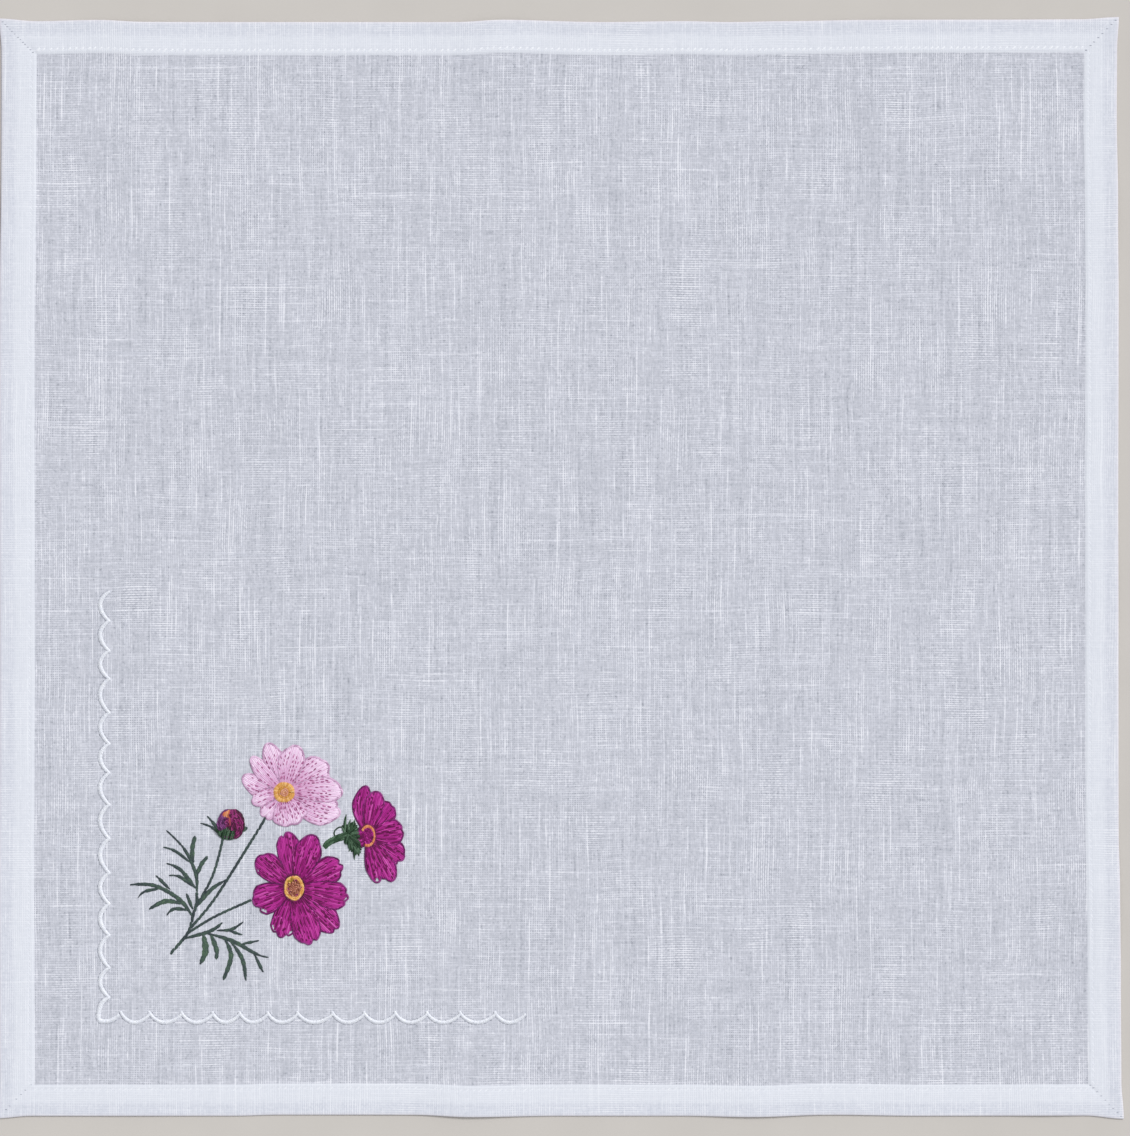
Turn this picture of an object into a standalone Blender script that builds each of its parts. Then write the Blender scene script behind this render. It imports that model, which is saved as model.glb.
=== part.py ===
"""A square linen handkerchief laid flat, face up, with its embroidered corner at the lower left.

One solid: a sheet with a raised, mitred hem and an outline as uneven as the real one. The scalloped
line and the flower spray stand up from the sheet as they do in thread. The underside is flat.
Lengths are in millimetres until the mesh is written, which is in metres: X right, Y up, Z off the table.
"""

import math

import bmesh
import bpy
from mathutils import Vector
from mathutils.geometry import delaunay_2d_cdt

METRES_PER_MM = 0.001

# The cloth
CLOTH_WIDTH = 305.4
CLOTH_LENGTH = 298.7
SHEET_THICKNESS = 1.0
HEM_WIDTH = 9.2
HEM_RISE = 0.6
HEM_STEP = 0.35
RIM_ROUND = 0.45
MITRE_DEPTH = 0.35
MITRE_HALF_WIDTH = 0.5
RING_SPACING = 9.0
FIELD_SPACING = 17.0

# How far each side stands in from its square: share of the side from its left or top end, millimetres in
SIDE_BOWS = {
    "top": (
        (0.0, 0.4), (0.033, 1.1), (0.087, 0.8), (0.13, 1.35), (0.41, 1.35), (0.45, 0.8), (0.54, 1.35),
        (0.61, 1.1), (0.65, 1.35), (0.70, 1.1), (0.77, 0.8), (0.89, 0.7), (0.965, 0.6), (1.0, 0.0),
    ),
    "bottom": (
        (0.0, 0.15), (0.03, 0.8), (0.21, 0.8), (0.25, 1.1), (0.37, 1.1), (0.42, 0.55), (0.50, 0.8),
        (0.61, 0.8), (0.67, 0.55), (0.74, 1.1), (0.82, 0.8), (0.965, 0.9), (1.0, 0.0),
    ),
    "left": (
        (0.0, 0.55), (0.03, 1.15), (0.14, 1.1), (0.30, 0.6), (0.55, 0.7), (0.80, 0.45), (0.965, 0.6),
        (1.0, 0.0),
    ),
    "right": (
        (0.0, 1.35), (0.03, 1.8), (0.09, 1.9), (0.17, 1.6), (0.26, 1.4), (0.47, 1.5), (0.74, 1.4),
        (0.79, 1.1), (0.87, 0.8), (0.965, 0.65), (1.0, 0.0),
    ),
}

# Soft ripples that lift the cloth near its sides: side, share along it, rise, half width, reach inwards
RIPPLES = (
    ("top", 0.12, 0.45, 13.0, 22.0),
    ("top", 0.44, 0.60, 10.0, 30.0),
    ("top", 0.80, 0.40, 16.0, 24.0),
    ("right", 0.16, 0.50, 12.0, 26.0),
    ("right", 0.52, 0.35, 18.0, 20.0),
    ("right", 0.80, 0.60, 11.0, 30.0),
    ("bottom", 0.42, 0.55, 10.0, 26.0),
    ("bottom", 0.67, 0.45, 12.0, 30.0),
    ("bottom", 0.93, 0.35, 9.0, 20.0),
    ("left", 0.22, 0.50, 14.0, 24.0),
    ("left", 0.50, 0.40, 16.0, 20.0),
)

# The scalloped line: an upright arm and a level arm that meet near the lower left corner
SCALLOP_DEPTH = 2.6
SCALLOP_HALF_WIDTH = 0.6
SCALLOP_RISE = 0.45
SCALLOP_STEPS = 5
UPRIGHT_ARM_TOP = (-122.2, -6.5)
UPRIGHT_ARM_WIDTHS = (7.9, 8.1, 7.6, 9.2, 8.4, 7.9, 8.6, 9.2, 9.3, 8.4, 8.5, 8.8, 8.1)
LEVEL_ARM_START = (-119.2, -120.6)
LEVEL_ARM_WIDTHS = (7.7, 8.7, 8.4, 7.3, 7.6, 8.1, 9.5, 8.6, 8.4, 8.6, 9.0, 9.5, 8.2)
CORNER_TURN = ((-123.9, -117.6), (-125.0, -119.6), (-125.1, -122.3), (-123.0, -122.9), (-120.6, -122.2))

# The flower spray, measured from the foot of its stems
SPRAY_FOOT = (-105.8, -104.6)
PETAL_RISE = 0.5
PETAL_SLOPE = 0.5
PETAL_OVERLAP_RISE = 0.18
STEM_RISE = 0.45
STEM_HALF_WIDTH = 0.5
FROND_HALF_WIDTH = 0.6
RIDGE_END = 0.4
DISC_RISE = 0.95
DISC_SLOPE = 0.9
BUD_RISE = 1.1
BUD_SLOPE = 1.8
ROUND_STEPS = 16

# A petal's outline: share of its length from the flower's centre, share of its half width
PETAL_PROFILE = ((0.12, 0.30), (0.35, 0.66), (0.60, 0.94), (0.80, 1.0), (0.94, 0.74), (1.0, 0.36))
PETAL_NOTCH = 0.95

# Flowers: centre, disc half width and half height, then petals as direction in degrees, length, width
PINK_FLOWER = {
    "centre": (30.9, 43.8),
    "disc": (2.9, 2.8),
    "petals": (
        (109.0, 13.9, 5.2), (74.0, 13.0, 6.6), (37.0, 14.1, 6.6), (1.0, 15.3, 5.8), (-22.0, 15.7, 6.0),
        (-74.0, 9.3, 8.2), (-138.0, 8.6, 7.0), (162.0, 11.7, 5.6), (132.0, 12.9, 4.8),
    ),
}
FRONT_FLOWER = {
    "centre": (33.6, 17.9),
    "disc": (2.6, 3.3),
    "petals": (
        (99.0, 14.9, 6.2), (69.0, 15.1, 7.0), (27.0, 14.1, 7.0), (-11.0, 14.6, 7.0), (-43.0, 16.2, 7.0),
        (-73.0, 15.8, 7.2), (-105.0, 13.7, 6.4), (-161.0, 11.4, 8.0), (139.0, 12.9, 6.4),
    ),
}
SIDE_FLOWER = {
    "centre": (53.6, 32.0),
    "disc": (2.0, 2.9),
    "petals": (
        (106.0, 11.8, 4.0), (-75.0, 12.8, 3.6), (94.0, 13.5, 4.2), (75.0, 12.2, 4.6), (55.0, 10.6, 4.8),
        (9.0, 9.3, 6.4), (-34.0, 11.2, 6.4), (-62.0, 13.8, 5.4),
    ),
}
BUD = {"centre": (16.6, 35.5), "radius": 3.7}

# Stems, each a chain of points from its lower end
STEMS = {
    "leaf stalk": ((0.0, 0.0), (3.7, 4.2), (5.3, 6.7), (6.1, 10.1), (7.2, 13.9), (7.2, 16.7)),
    "bud stem": ((7.4, 13.5), (11.0, 20.0), (12.9, 25.5), (14.3, 31.4)),
    "pink stem": ((5.6, 7.1), (12.1, 15.0), (21.7, 30.1), (26.0, 37.1)),
    "front stem": ((4.7, 5.6), (12.1, 10.1), (22.0, 14.6)),
    "side stem": ((41.6, 28.0), (45.0, 31.0), (50.0, 32.3)),
}

# Fronds of the feathery leaves, each a chain of points from its root to its tip
FRONDS = (
    ((7.2, 16.7), (7.0, 21.5), (4.0, 28.2), (-1.0, 33.5)),
    ((5.5, 24.7), (1.5, 27.8), (-1.9, 29.0)),
    ((6.2, 24.7), (6.0, 28.5), (6.8, 32.0)),
    ((7.1, 20.9), (8.4, 24.2), (10.2, 26.4)),
    ((6.9, 17.7), (2.8, 22.8), (-1.0, 24.6)),
    ((6.5, 18.1), (2.6, 20.9), (-0.4, 21.3)),
    ((6.1, 10.1), (2.6, 14.7), (-4.2, 18.5), (-10.9, 18.8)),
    ((0.0, 17.4), (-3.9, 21.3)),
    ((-2.7, 17.7), (-6.9, 16.9), (-8.8, 15.2)),
    ((3.6, 13.5), (-1.2, 14.3), (-5.8, 12.1)),
    ((5.1, 11.8), (1.1, 12.2), (-1.0, 10.5)),
    ((6.1, 12.0), (4.4, 16.4)),
    ((6.8, 12.5), (11.2, 17.5), (15.2, 20.1)),
    ((3.7, 4.1), (10.9, 6.2), (14.2, 8.5)),
    ((12.6, 6.4), (16.5, 6.6), (19.9, 8.7)),
    ((15.9, 6.3), (19.6, 5.1)),
    ((9.5, 5.7), (16.7, 3.6), (23.3, 0.0), (26.7, -1.0)),
    ((19.1, 2.6), (24.1, 3.6)),
    ((22.7, 0.2), (25.2, -5.0)),
    ((16.3, 3.6), (19.6, -1.5), (20.5, -7.3)),
    ((14.9, 4.0), (16.5, -0.7), (14.4, -7.1)),
    ((10.9, 5.6), (12.6, 1.0), (12.4, -1.5)),
    ((8.9, 5.6), (9.6, 0.9), (8.1, -2.8)),
)
SEPALS = (
    ((14.3, 32.0), (12.4, 34.6), (10.0, 37.4)),
    ((13.8, 31.8), (11.3, 34.2), (8.2, 35.5)),
    ((48.4, 33.4), (47.6, 37.4)),
    ((49.6, 31.0), (50.0, 25.2)),
)

LINEN_COLOUR = (0.604, 0.624, 0.708, 1.0)


def between(rows, share):
    """The value at a share along a table of (share, value) rows, eased from row to row."""
    for (start, low), (end, high) in zip(rows, rows[1:]):
        if share <= end:
            part = max(0.0, (share - start) / (end - start))
            return low + (high - low) * (1.0 - math.cos(math.pi * part)) / 2.0
    return rows[-1][1]


def side_position(side, x, y):
    """Where a side of the cloth lies: its Y over x for top and bottom, its X beside y for left and right."""
    if side in ("top", "bottom"):
        bow = between(SIDE_BOWS[side], x / CLOTH_WIDTH + 0.5)
        return CLOTH_LENGTH / 2 - bow if side == "top" else bow - CLOTH_LENGTH / 2
    bow = between(SIDE_BOWS[side], 0.5 - y / CLOTH_LENGTH)
    return CLOTH_WIDTH / 2 - bow if side == "right" else bow - CLOTH_WIDTH / 2


def side_depths(x, y):
    """How far a point lies in from each side."""
    return {
        "top": side_position("top", x, y) - y,
        "bottom": y - side_position("bottom", x, y),
        "left": x - side_position("left", x, y),
        "right": side_position("right", x, y) - x,
    }


def corner(left_or_right, top_or_bottom, depth):
    """The point that lies at the same depth from two sides."""
    across = 1.0 if left_or_right == "right" else -1.0
    up = 1.0 if top_or_bottom == "top" else -1.0
    x, y = across * CLOTH_WIDTH / 2, up * CLOTH_LENGTH / 2
    for _ in range(4):
        x = side_position(left_or_right, x, y) - across * depth
        y = side_position(top_or_bottom, x, y) - up * depth
    return x, y


def ring(depth):
    """A closed line round the cloth at one depth from its sides."""
    turns = (("left", "top"), ("right", "top"), ("right", "bottom"), ("left", "bottom"))
    sides = ("top", "right", "bottom", "left")
    points = []
    for index, side in enumerate(sides):
        start = corner(*turns[index], depth)
        end = corner(*turns[(index + 1) % 4], depth)
        steps = round(math.dist(start, end) / RING_SPACING)
        for step in range(steps):
            share = step / steps
            x = start[0] + (end[0] - start[0]) * share
            y = start[1] + (end[1] - start[1]) * share
            if step and side in ("top", "bottom"):
                y = side_position(side, x, y) + (depth if side == "bottom" else -depth)
            elif step:
                x = side_position(side, x, y) + (depth if side == "left" else -depth)
            points.append((x, y))
    return points


def lift(x, y):
    """How far the ripples raise the cloth at a point."""
    depths = side_depths(x, y)
    total = 0.0
    for side, share, rise, half_width, reach in RIPPLES:
        if side in ("top", "bottom"):
            along = x - (share - 0.5) * CLOTH_WIDTH
        else:
            along = y - (0.5 - share) * CLOTH_LENGTH
        inward = max(0.0, depths[side])
        total += rise * math.exp(-((along / half_width) ** 2) - (inward / reach) ** 2)
    return total


def from_foot(point):
    """A point of the flower spray on the cloth."""
    return point[0] + SPRAY_FOOT[0], point[1] + SPRAY_FOOT[1]


def petal_outline(centre, direction, length, width):
    """The closed outline of one petal with its notched tip."""
    half = [(length * share, width / 2 * part) for share, part in PETAL_PROFILE]
    local = half + [(length * PETAL_NOTCH, 0.0)] + [(x, -y) for x, y in reversed(half)]
    turn = math.radians(direction)
    cos, sin = math.cos(turn), math.sin(turn)
    return [(centre[0] + x * cos - y * sin, centre[1] + x * sin + y * cos) for x, y in local]


def oval(centre, half_width, half_height):
    """A closed oval outline."""
    turns = (2.0 * math.pi * step / ROUND_STEPS for step in range(ROUND_STEPS))
    return [(centre[0] + half_width * math.cos(t), centre[1] + half_height * math.sin(t)) for t in turns]


def smooth_chain(points, steps):
    """A chain of points made smooth with a Catmull-Rom curve."""
    if len(points) < 3:
        return list(points)
    ends = [points[0], *points, points[-1]]
    chain = []
    for before, start, end, after in zip(ends, ends[1:], ends[2:], ends[3:]):
        for step in range(steps):
            t = step / steps
            chain.append(tuple(
                0.5 * (2 * b + (c - a) * t + (2 * a - 5 * b + 4 * c - d) * t * t + (3 * b - a - 3 * c + d) * t ** 3)
                for a, b, c, d in zip(before, start, end, after)
            ))
    return chain + [tuple(points[-1])]


def inside(point, outline):
    """Whether a point lies inside a closed outline."""
    found = False
    x, y = point
    for (ax, ay), (bx, by) in zip(outline, outline[1:] + outline[:1]):
        if (ay > y) != (by > y) and x < (bx - ax) * (y - ay) / (by - ay) + ax:
            found = not found
    return found


def toward(point, target, distance):
    """The point at a distance from one point towards another."""
    share = distance / math.dist(point, target)
    return point[0] + (target[0] - point[0]) * share, point[1] + (target[1] - point[1]) * share


def to_segment(point, start, end):
    """The distance from a point to a segment, and the share along the segment that is nearest."""
    dx, dy = end[0] - start[0], end[1] - start[1]
    share = ((point[0] - start[0]) * dx + (point[1] - start[1]) * dy) / (dx * dx + dy * dy)
    share = min(1.0, max(0.0, share))
    return math.dist(point, (start[0] + dx * share, start[1] + dy * share)), share


class Pad:
    """A closed outline that stands up with a sloping edge, such as a petal."""

    def __init__(self, outline, rise, slope=PETAL_SLOPE):
        self.outline = outline
        self.rise = rise
        self.slope = slope

    def lines(self):
        """The foot and the crest of the slope, as closed chains."""
        count = len(self.outline)
        crest = []
        for index, point in enumerate(self.outline):
            before, after = self.outline[index - 1], self.outline[(index + 1) % count]
            along = Vector((after[0] - before[0], after[1] - before[1])).normalized()
            inward = (point[0] - along.y * self.slope, point[1] + along.x * self.slope)
            if not inside(inward, self.outline):
                inward = (point[0] + along.y * self.slope, point[1] - along.x * self.slope)
            crest.append(inward)
        return [(self.outline, True), (crest, True)]

    def height(self, point):
        """How far the pad raises a point."""
        if not inside(point, self.outline):
            return 0.0
        chain = zip(self.outline, self.outline[1:] + self.outline[:1])
        depth = min(to_segment(point, start, end)[0] for start, end in chain)
        return self.rise * min(1.0, depth / self.slope)


class Ridge:
    """A chain of points that stands up as a ridge, such as a stem or a frond, and dies out at its ends."""

    def __init__(self, chain, rise, half_widths):
        first = toward(chain[0], chain[1], RIDGE_END)
        last = toward(chain[-1], chain[-2], RIDGE_END)
        self.chain = [chain[0], first, *chain[1:-1], last, chain[-1]]
        self.rise = rise
        self.half_widths = [half_widths[0], *half_widths, half_widths[-1]]

    def lines(self):
        """The crest, and the closed foot round it."""
        left, right = [], []
        for index, point in enumerate(self.chain):
            before = self.chain[max(0, index - 1)]
            after = self.chain[min(len(self.chain) - 1, index + 1)]
            along = Vector((after[0] - before[0], after[1] - before[1])).normalized()
            reach = self.half_widths[index]
            left.append((point[0] - along.y * reach, point[1] + along.x * reach))
            right.append((point[0] + along.y * reach, point[1] - along.x * reach))
        return [(self.chain, False), (left + right[::-1], True)]

    def height(self, point):
        """How far the ridge raises a point."""
        best = 0.0
        segments = zip(self.chain, self.chain[1:], self.half_widths, self.half_widths[1:])
        for start, end, first, last in segments:
            distance, share = to_segment(point, start, end)
            best = max(best, 1.0 - distance / (first + (last - first) * share))
        to_end = min(math.dist(point, self.chain[0]), math.dist(point, self.chain[-1]))
        return self.rise * best * min(1.0, to_end / RIDGE_END)


def tapered(count, half_width):
    """Half widths of a frond, fullest before its middle and fine at its tip."""
    shares = (index / (count - 1) for index in range(count))
    return [half_width * (0.45 + 0.75 * math.sin(math.pi * min(1.0, 0.25 + 0.75 * share))) for share in shares]


def frond_ridges():
    """The leaves' fronds, and the sepals of the bud and of the side flower."""
    for points in FRONDS + SEPALS:
        chain = smooth_chain([from_foot(point) for point in points], 3)
        yield Ridge(chain, STEM_RISE, tapered(len(chain), FROND_HALF_WIDTH))


def stem_ridges():
    """The stems, each one width along its length."""
    for points in STEMS.values():
        chain = smooth_chain([from_foot(point) for point in points], 3)
        yield Ridge(chain, STEM_RISE, [STEM_HALF_WIDTH] * len(chain))


def flower_pads(flower):
    """A flower's petals, every other one standing on its neighbours, and its disc."""
    centre = from_foot(flower["centre"])
    for index, (direction, length, width) in enumerate(flower["petals"]):
        rise = PETAL_RISE + PETAL_OVERLAP_RISE * (index % 2)
        yield Pad(petal_outline(centre, direction, length, width), rise)
    yield Pad(oval(centre, *flower["disc"]), DISC_RISE, DISC_SLOPE)


def arm_chain(start, widths, downwards):
    """One arm of the scalloped line, a bow for each scallop."""
    x, y = start
    chain = [start]
    for width in widths:
        for step in range(1, SCALLOP_STEPS + 1):
            share = step / SCALLOP_STEPS
            bow = SCALLOP_DEPTH * math.sin(math.pi * share) ** 0.8
            if downwards:
                chain.append((x - bow, y - width * share))
            else:
                chain.append((x + width * share, y - bow))
        x, y = (x, y - width) if downwards else (x + width, y)
    return chain


def scallop_ridges():
    """The whole scalloped line as one ridge."""
    upright = arm_chain(UPRIGHT_ARM_TOP, UPRIGHT_ARM_WIDTHS, True)
    level = arm_chain(LEVEL_ARM_START, LEVEL_ARM_WIDTHS, False)
    chain = upright + list(CORNER_TURN) + level
    yield Ridge(chain, SCALLOP_RISE, [SCALLOP_HALF_WIDTH] * len(chain))


def raised_forms():
    """Everything that stands up from the sheet."""
    forms = [*scallop_ridges(), *stem_ridges(), *frond_ridges()]
    for flower in (PINK_FLOWER, FRONT_FLOWER, SIDE_FLOWER):
        forms += flower_pads(flower)
    bud = oval(from_foot(BUD["centre"]), BUD["radius"], BUD["radius"])
    forms.append(Pad(bud, BUD_RISE, BUD_SLOPE))
    return forms


def mitre_lines():
    """The middle and the two sides of each corner's mitre seam."""
    lines = []
    for across in ("left", "right"):
        for up in ("top", "bottom"):
            outer = Vector(corner(across, up, RIM_ROUND))
            inner = Vector(corner(across, up, HEM_WIDTH))
            along = (inner - outer).normalized()
            aside = Vector((-along.y, along.x)) * MITRE_HALF_WIDTH
            start, end = outer + along * 2 * MITRE_HALF_WIDTH, inner - along * MITRE_HALF_WIDTH
            lines.append(([tuple(outer), tuple(inner)], False))
            lines.append(([tuple(start + aside), tuple(end + aside)], False))
            lines.append(([tuple(start - aside), tuple(end - aside)], False))
    return lines


def mitre_drop(point):
    """How far the mitre seams lower a point of the hem."""
    x, y = point
    across = "left" if x < 0 else "right"
    up = "top" if y > 0 else "bottom"
    outer, inner = corner(across, up, RIM_ROUND), corner(across, up, HEM_WIDTH)
    distance = to_segment(point, outer, inner)[0]
    return MITRE_DEPTH * max(0.0, 1.0 - distance / MITRE_HALF_WIDTH)


def field_points(forms):
    """Loose points of the plain field, clear of the hem and of what stands up from it."""
    outlines = [chain for form in forms for chain, _ in form.lines()]
    columns = round(CLOTH_WIDTH / FIELD_SPACING)
    rows = round(CLOTH_LENGTH / FIELD_SPACING)
    clearance = FIELD_SPACING / 5
    points = []
    for column in range(1, columns):
        for row in range(1, rows):
            point = (CLOTH_WIDTH * (column / columns - 0.5), CLOTH_LENGTH * (row / rows - 0.5))
            near = any(math.dist(point, other) < clearance for chain in outlines for other in chain)
            if not near and min(side_depths(*point).values()) > HEM_WIDTH + clearance:
                points.append(point)
    return points


def top_height(point, forms):
    """The height of the cloth's face over the table."""
    x, y = point
    depth = min(side_depths(x, y).values())
    hem_share = min(1.0, max(0.0, (HEM_WIDTH + HEM_STEP - depth) / HEM_STEP))
    height = SHEET_THICKNESS + lift(x, y) + HEM_RISE * hem_share
    if depth < HEM_WIDTH - MITRE_HALF_WIDTH:
        height -= mitre_drop(point)
    return height + max(form.height(point) for form in forms)


def face_mesh(forms):
    """The triangles of the cloth's face, along every line that bends it."""
    lines = [(ring(RIM_ROUND), True), (ring(HEM_WIDTH), True), (ring(HEM_WIDTH + HEM_STEP), True)]
    lines += mitre_lines()
    for form in forms:
        lines += form.lines()
    points, edges = [], []
    for chain, closed in lines:
        first = len(points)
        points += chain
        edges += [(first + i, first + i + 1) for i in range(len(chain) - 1)]
        if closed:
            edges.append((first + len(chain) - 1, first))
    points += field_points(forms)
    merge_within = 0.05
    inside_constraints = 1
    flat = [Vector(point) for point in points]
    corners, _, faces, *_ = delaunay_2d_cdt(flat, edges, [], inside_constraints, merge_within)
    return [(p.x, p.y, top_height((p.x, p.y), forms)) for p in corners], faces


def push_out(vertex, step):
    """Moves a vertex of the rim away from the cloth's middle, off each side that it lies on."""
    near = RIM_ROUND * 1.3
    depths = side_depths(vertex.co.x, vertex.co.y)
    if depths["left"] < near:
        vertex.co.x -= step
    if depths["right"] < near:
        vertex.co.x += step
    if depths["bottom"] < near:
        vertex.co.y -= step
    if depths["top"] < near:
        vertex.co.y += step


def close_rim(mesh):
    """Rounds the folded edge down from the face to the table, and closes the flat underside."""
    crown = SHEET_THICKNESS + HEM_RISE
    steps = ((RIM_ROUND, -RIM_ROUND), (0.0, RIM_ROUND - crown * 0.7), (-RIM_ROUND, None))
    rim = [edge for edge in mesh.edges if edge.is_boundary]
    for outward, drop in steps:
        made = bmesh.ops.extrude_edge_only(mesh, edges=rim)["geom"]
        ring_vertices = [item for item in made if isinstance(item, bmesh.types.BMVert)]
        rim = [item for item in made if isinstance(item, bmesh.types.BMEdge)]
        for vertex in ring_vertices:
            if outward:
                push_out(vertex, outward)
            vertex.co.z = vertex.co.z + drop if drop is not None else 0.0
    bmesh.ops.contextual_create(mesh, geom=rim)


def linen_material():
    """Bleached linen, matt."""
    material = bpy.data.materials.new("linen")
    material.use_nodes = True
    shader = material.node_tree.nodes["Principled BSDF"]
    shader.inputs["Base Color"].default_value = LINEN_COLOUR
    shader.inputs["Roughness"].default_value = 0.85
    shader.inputs["Metallic"].default_value = 0.0
    return material


def handkerchief():
    """Builds the cloth as one closed solid."""
    forms = raised_forms()
    corners, faces = face_mesh(forms)
    mesh = bmesh.new()
    vertices = [mesh.verts.new(corner_point) for corner_point in corners]
    for face in faces:
        mesh.faces.new([vertices[index] for index in face])
    close_rim(mesh)
    bmesh.ops.recalc_face_normals(mesh, faces=mesh.faces)
    bmesh.ops.scale(mesh, vec=Vector((1, 1, 1)) * METRES_PER_MM, verts=mesh.verts)
    data = bpy.data.meshes.new("linen_handkerchief")
    mesh.to_mesh(data)
    mesh.free()
    data.materials.append(linen_material())
    cloth = bpy.data.objects.new("linen_handkerchief", data)
    bpy.context.scene.collection.objects.link(cloth)


def main():
    for old in list(bpy.data.objects):
        bpy.data.objects.remove(old)
    handkerchief()


main()
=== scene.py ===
"""A square linen handkerchief laid flat, face up, with its embroidered corner at the lower left.

The cloth is one thin sheet with a turned, mitred hem. Slubs, stitches, the scalloped line and the flower
spray lie on it as thread. Lengths are in millimetres until a mesh is written, which is in metres.
"""

import math
import random

import bpy
import numpy as np
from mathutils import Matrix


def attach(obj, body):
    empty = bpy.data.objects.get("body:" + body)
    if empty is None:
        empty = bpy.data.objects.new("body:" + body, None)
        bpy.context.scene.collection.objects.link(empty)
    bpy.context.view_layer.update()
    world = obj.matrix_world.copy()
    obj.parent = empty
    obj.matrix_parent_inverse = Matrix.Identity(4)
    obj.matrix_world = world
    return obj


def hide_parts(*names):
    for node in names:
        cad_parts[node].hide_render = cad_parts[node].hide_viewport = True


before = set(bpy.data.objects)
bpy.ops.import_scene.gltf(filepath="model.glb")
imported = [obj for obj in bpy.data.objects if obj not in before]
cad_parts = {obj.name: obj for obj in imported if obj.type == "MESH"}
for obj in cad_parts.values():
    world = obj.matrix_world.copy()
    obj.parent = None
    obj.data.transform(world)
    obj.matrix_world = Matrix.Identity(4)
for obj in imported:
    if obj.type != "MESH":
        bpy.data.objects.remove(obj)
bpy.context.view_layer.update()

METRES_PER_MM = 0.001
MM_PER_METRE = 1000.0
FULL_TURN = 2.0 * math.pi

# The cloth. Each side's hem is a share of the full hem's width
CLOTH_WIDTH = 305.4
CLOTH_LENGTH = 298.7
HEM_WIDTH = 9.2
HEM_SHARES = {"top": 0.96, "bottom": 0.91, "left": 1.02, "right": 0.96}
FIELD_LINE_SPACING = 2.0
BOW_FADES_FROM = 12.0
BOW_FADES_OVER = 60.0

# The hem in section: distance in from the fold, height over the floor
HEM_FACE = (
    (0.0, 0.34), (0.08, 0.47), (0.25, 0.57), (0.55, 0.62), (1.1, 0.63), (2.0, 0.61), (3.2, 0.59),
    (4.6, 0.58), (6.0, 0.57), (6.9, 0.56), (7.5, 0.54), (7.8, 0.51), (8.0, 0.49), (8.2, 0.50), (8.5, 0.52),
    (8.8, 0.50), (9.0, 0.46), (9.2, 0.41), (9.5, 0.35), (9.9, 0.31), (10.6, 0.30),
)
HEM_UNDERSIDE = ((0.0, 0.26), (0.08, 0.12), (0.25, 0.03), (0.55, 0.0))
TURN_IN_WIDTH = 5.0
# How far in from the fold the painted highlight on its rounded rim reaches
FOLD_HIGHLIGHT_WIDTH = 0.8
MITRE_DIP = 0.10
MITRE_DIP_WIDTH = 0.8

# How far each side stands in from its square: share of the side from its left or top end, millimetres in
SIDE_BOWS = {
    "top": (
        (0.0, 0.4), (0.033, 1.1), (0.087, 0.8), (0.13, 1.35), (0.41, 1.35), (0.45, 0.8), (0.54, 1.35),
        (0.61, 1.1), (0.65, 1.35), (0.70, 1.1), (0.77, 0.8), (0.89, 0.7), (0.965, 0.6), (1.0, 0.0),
    ),
    "bottom": (
        (0.0, 0.15), (0.03, 0.8), (0.21, 0.8), (0.25, 1.1), (0.37, 1.1), (0.42, 0.55), (0.50, 0.8),
        (0.61, 0.8), (0.67, 0.55), (0.74, 1.1), (0.82, 0.8), (0.965, 0.9), (1.0, 0.0),
    ),
    "left": (
        (0.0, 0.55), (0.03, 1.15), (0.14, 1.1), (0.30, 0.6), (0.55, 0.7), (0.80, 0.45), (0.965, 0.6),
        (1.0, 0.0),
    ),
    "right": (
        (0.0, 1.35), (0.03, 1.8), (0.09, 1.9), (0.17, 1.6), (0.26, 1.4), (0.47, 1.5), (0.74, 1.4),
        (0.79, 1.1), (0.87, 0.8), (0.965, 0.65), (1.0, 0.0),
    ),
}

# Soft ripples that lift the cloth near its sides: side, share along it, rise, half width, reach inwards
RIPPLES = (
    ("top", 0.12, 0.45, 13.0, 22.0), ("top", 0.44, 0.60, 10.0, 30.0), ("top", 0.80, 0.40, 16.0, 24.0),
    ("right", 0.16, 0.50, 12.0, 26.0), ("right", 0.52, 0.35, 18.0, 20.0), ("right", 0.80, 0.60, 11.0, 30.0),
    ("bottom", 0.42, 0.55, 10.0, 26.0), ("bottom", 0.67, 0.45, 12.0, 30.0), ("bottom", 0.93, 0.35, 9.0, 20.0),
    ("left", 0.22, 0.50, 14.0, 24.0), ("left", 0.50, 0.40, 16.0, 20.0),
)

# The weave: distance from thread to thread, how much the long and short unevenness and the thick places of
# its threads show, and the thick places that stand up from it
WARP_PITCH = 0.60
WEFT_PITCH = 0.62
WARP_WEIGHTS = (0.66, 0.60, 0.9)
WEFT_WEIGHTS = (0.36, 0.48, 0.4)
LINEN_TONE = 0.46
SLUB_COUNT = 2600
SLUB_UPRIGHT_SHARE = 0.6
SLUB_LENGTHS = (3.0, 30.0)
SLUB_HALF_WIDTHS = (0.07, 0.15)
SLUB_RISE = 0.06
SLUB_BEND = 0.25

# Thread in general: a strand's section as place across it and height, and spreads of chance
ROUND_SECTION = ((-1.0, 0.0), (-0.6, 0.72), (0.0, 1.0), (0.6, 0.72), (1.0, 0.0))
PLAIN_SECTION = ((-1.0, 0.0), (0.0, 1.0), (1.0, 0.0))
UNEVEN = (0.85, 1.15)
ANY_PHASE = (0.0, 6.28)
KNOT_RINGS = 3
KNOT_SIDES = 8
THREAD_PLY = 0.5
BUMP_METRES = 0.00004
BUMP_STRENGTH = 0.6
SPECULAR_LEVEL = 0.25
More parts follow.
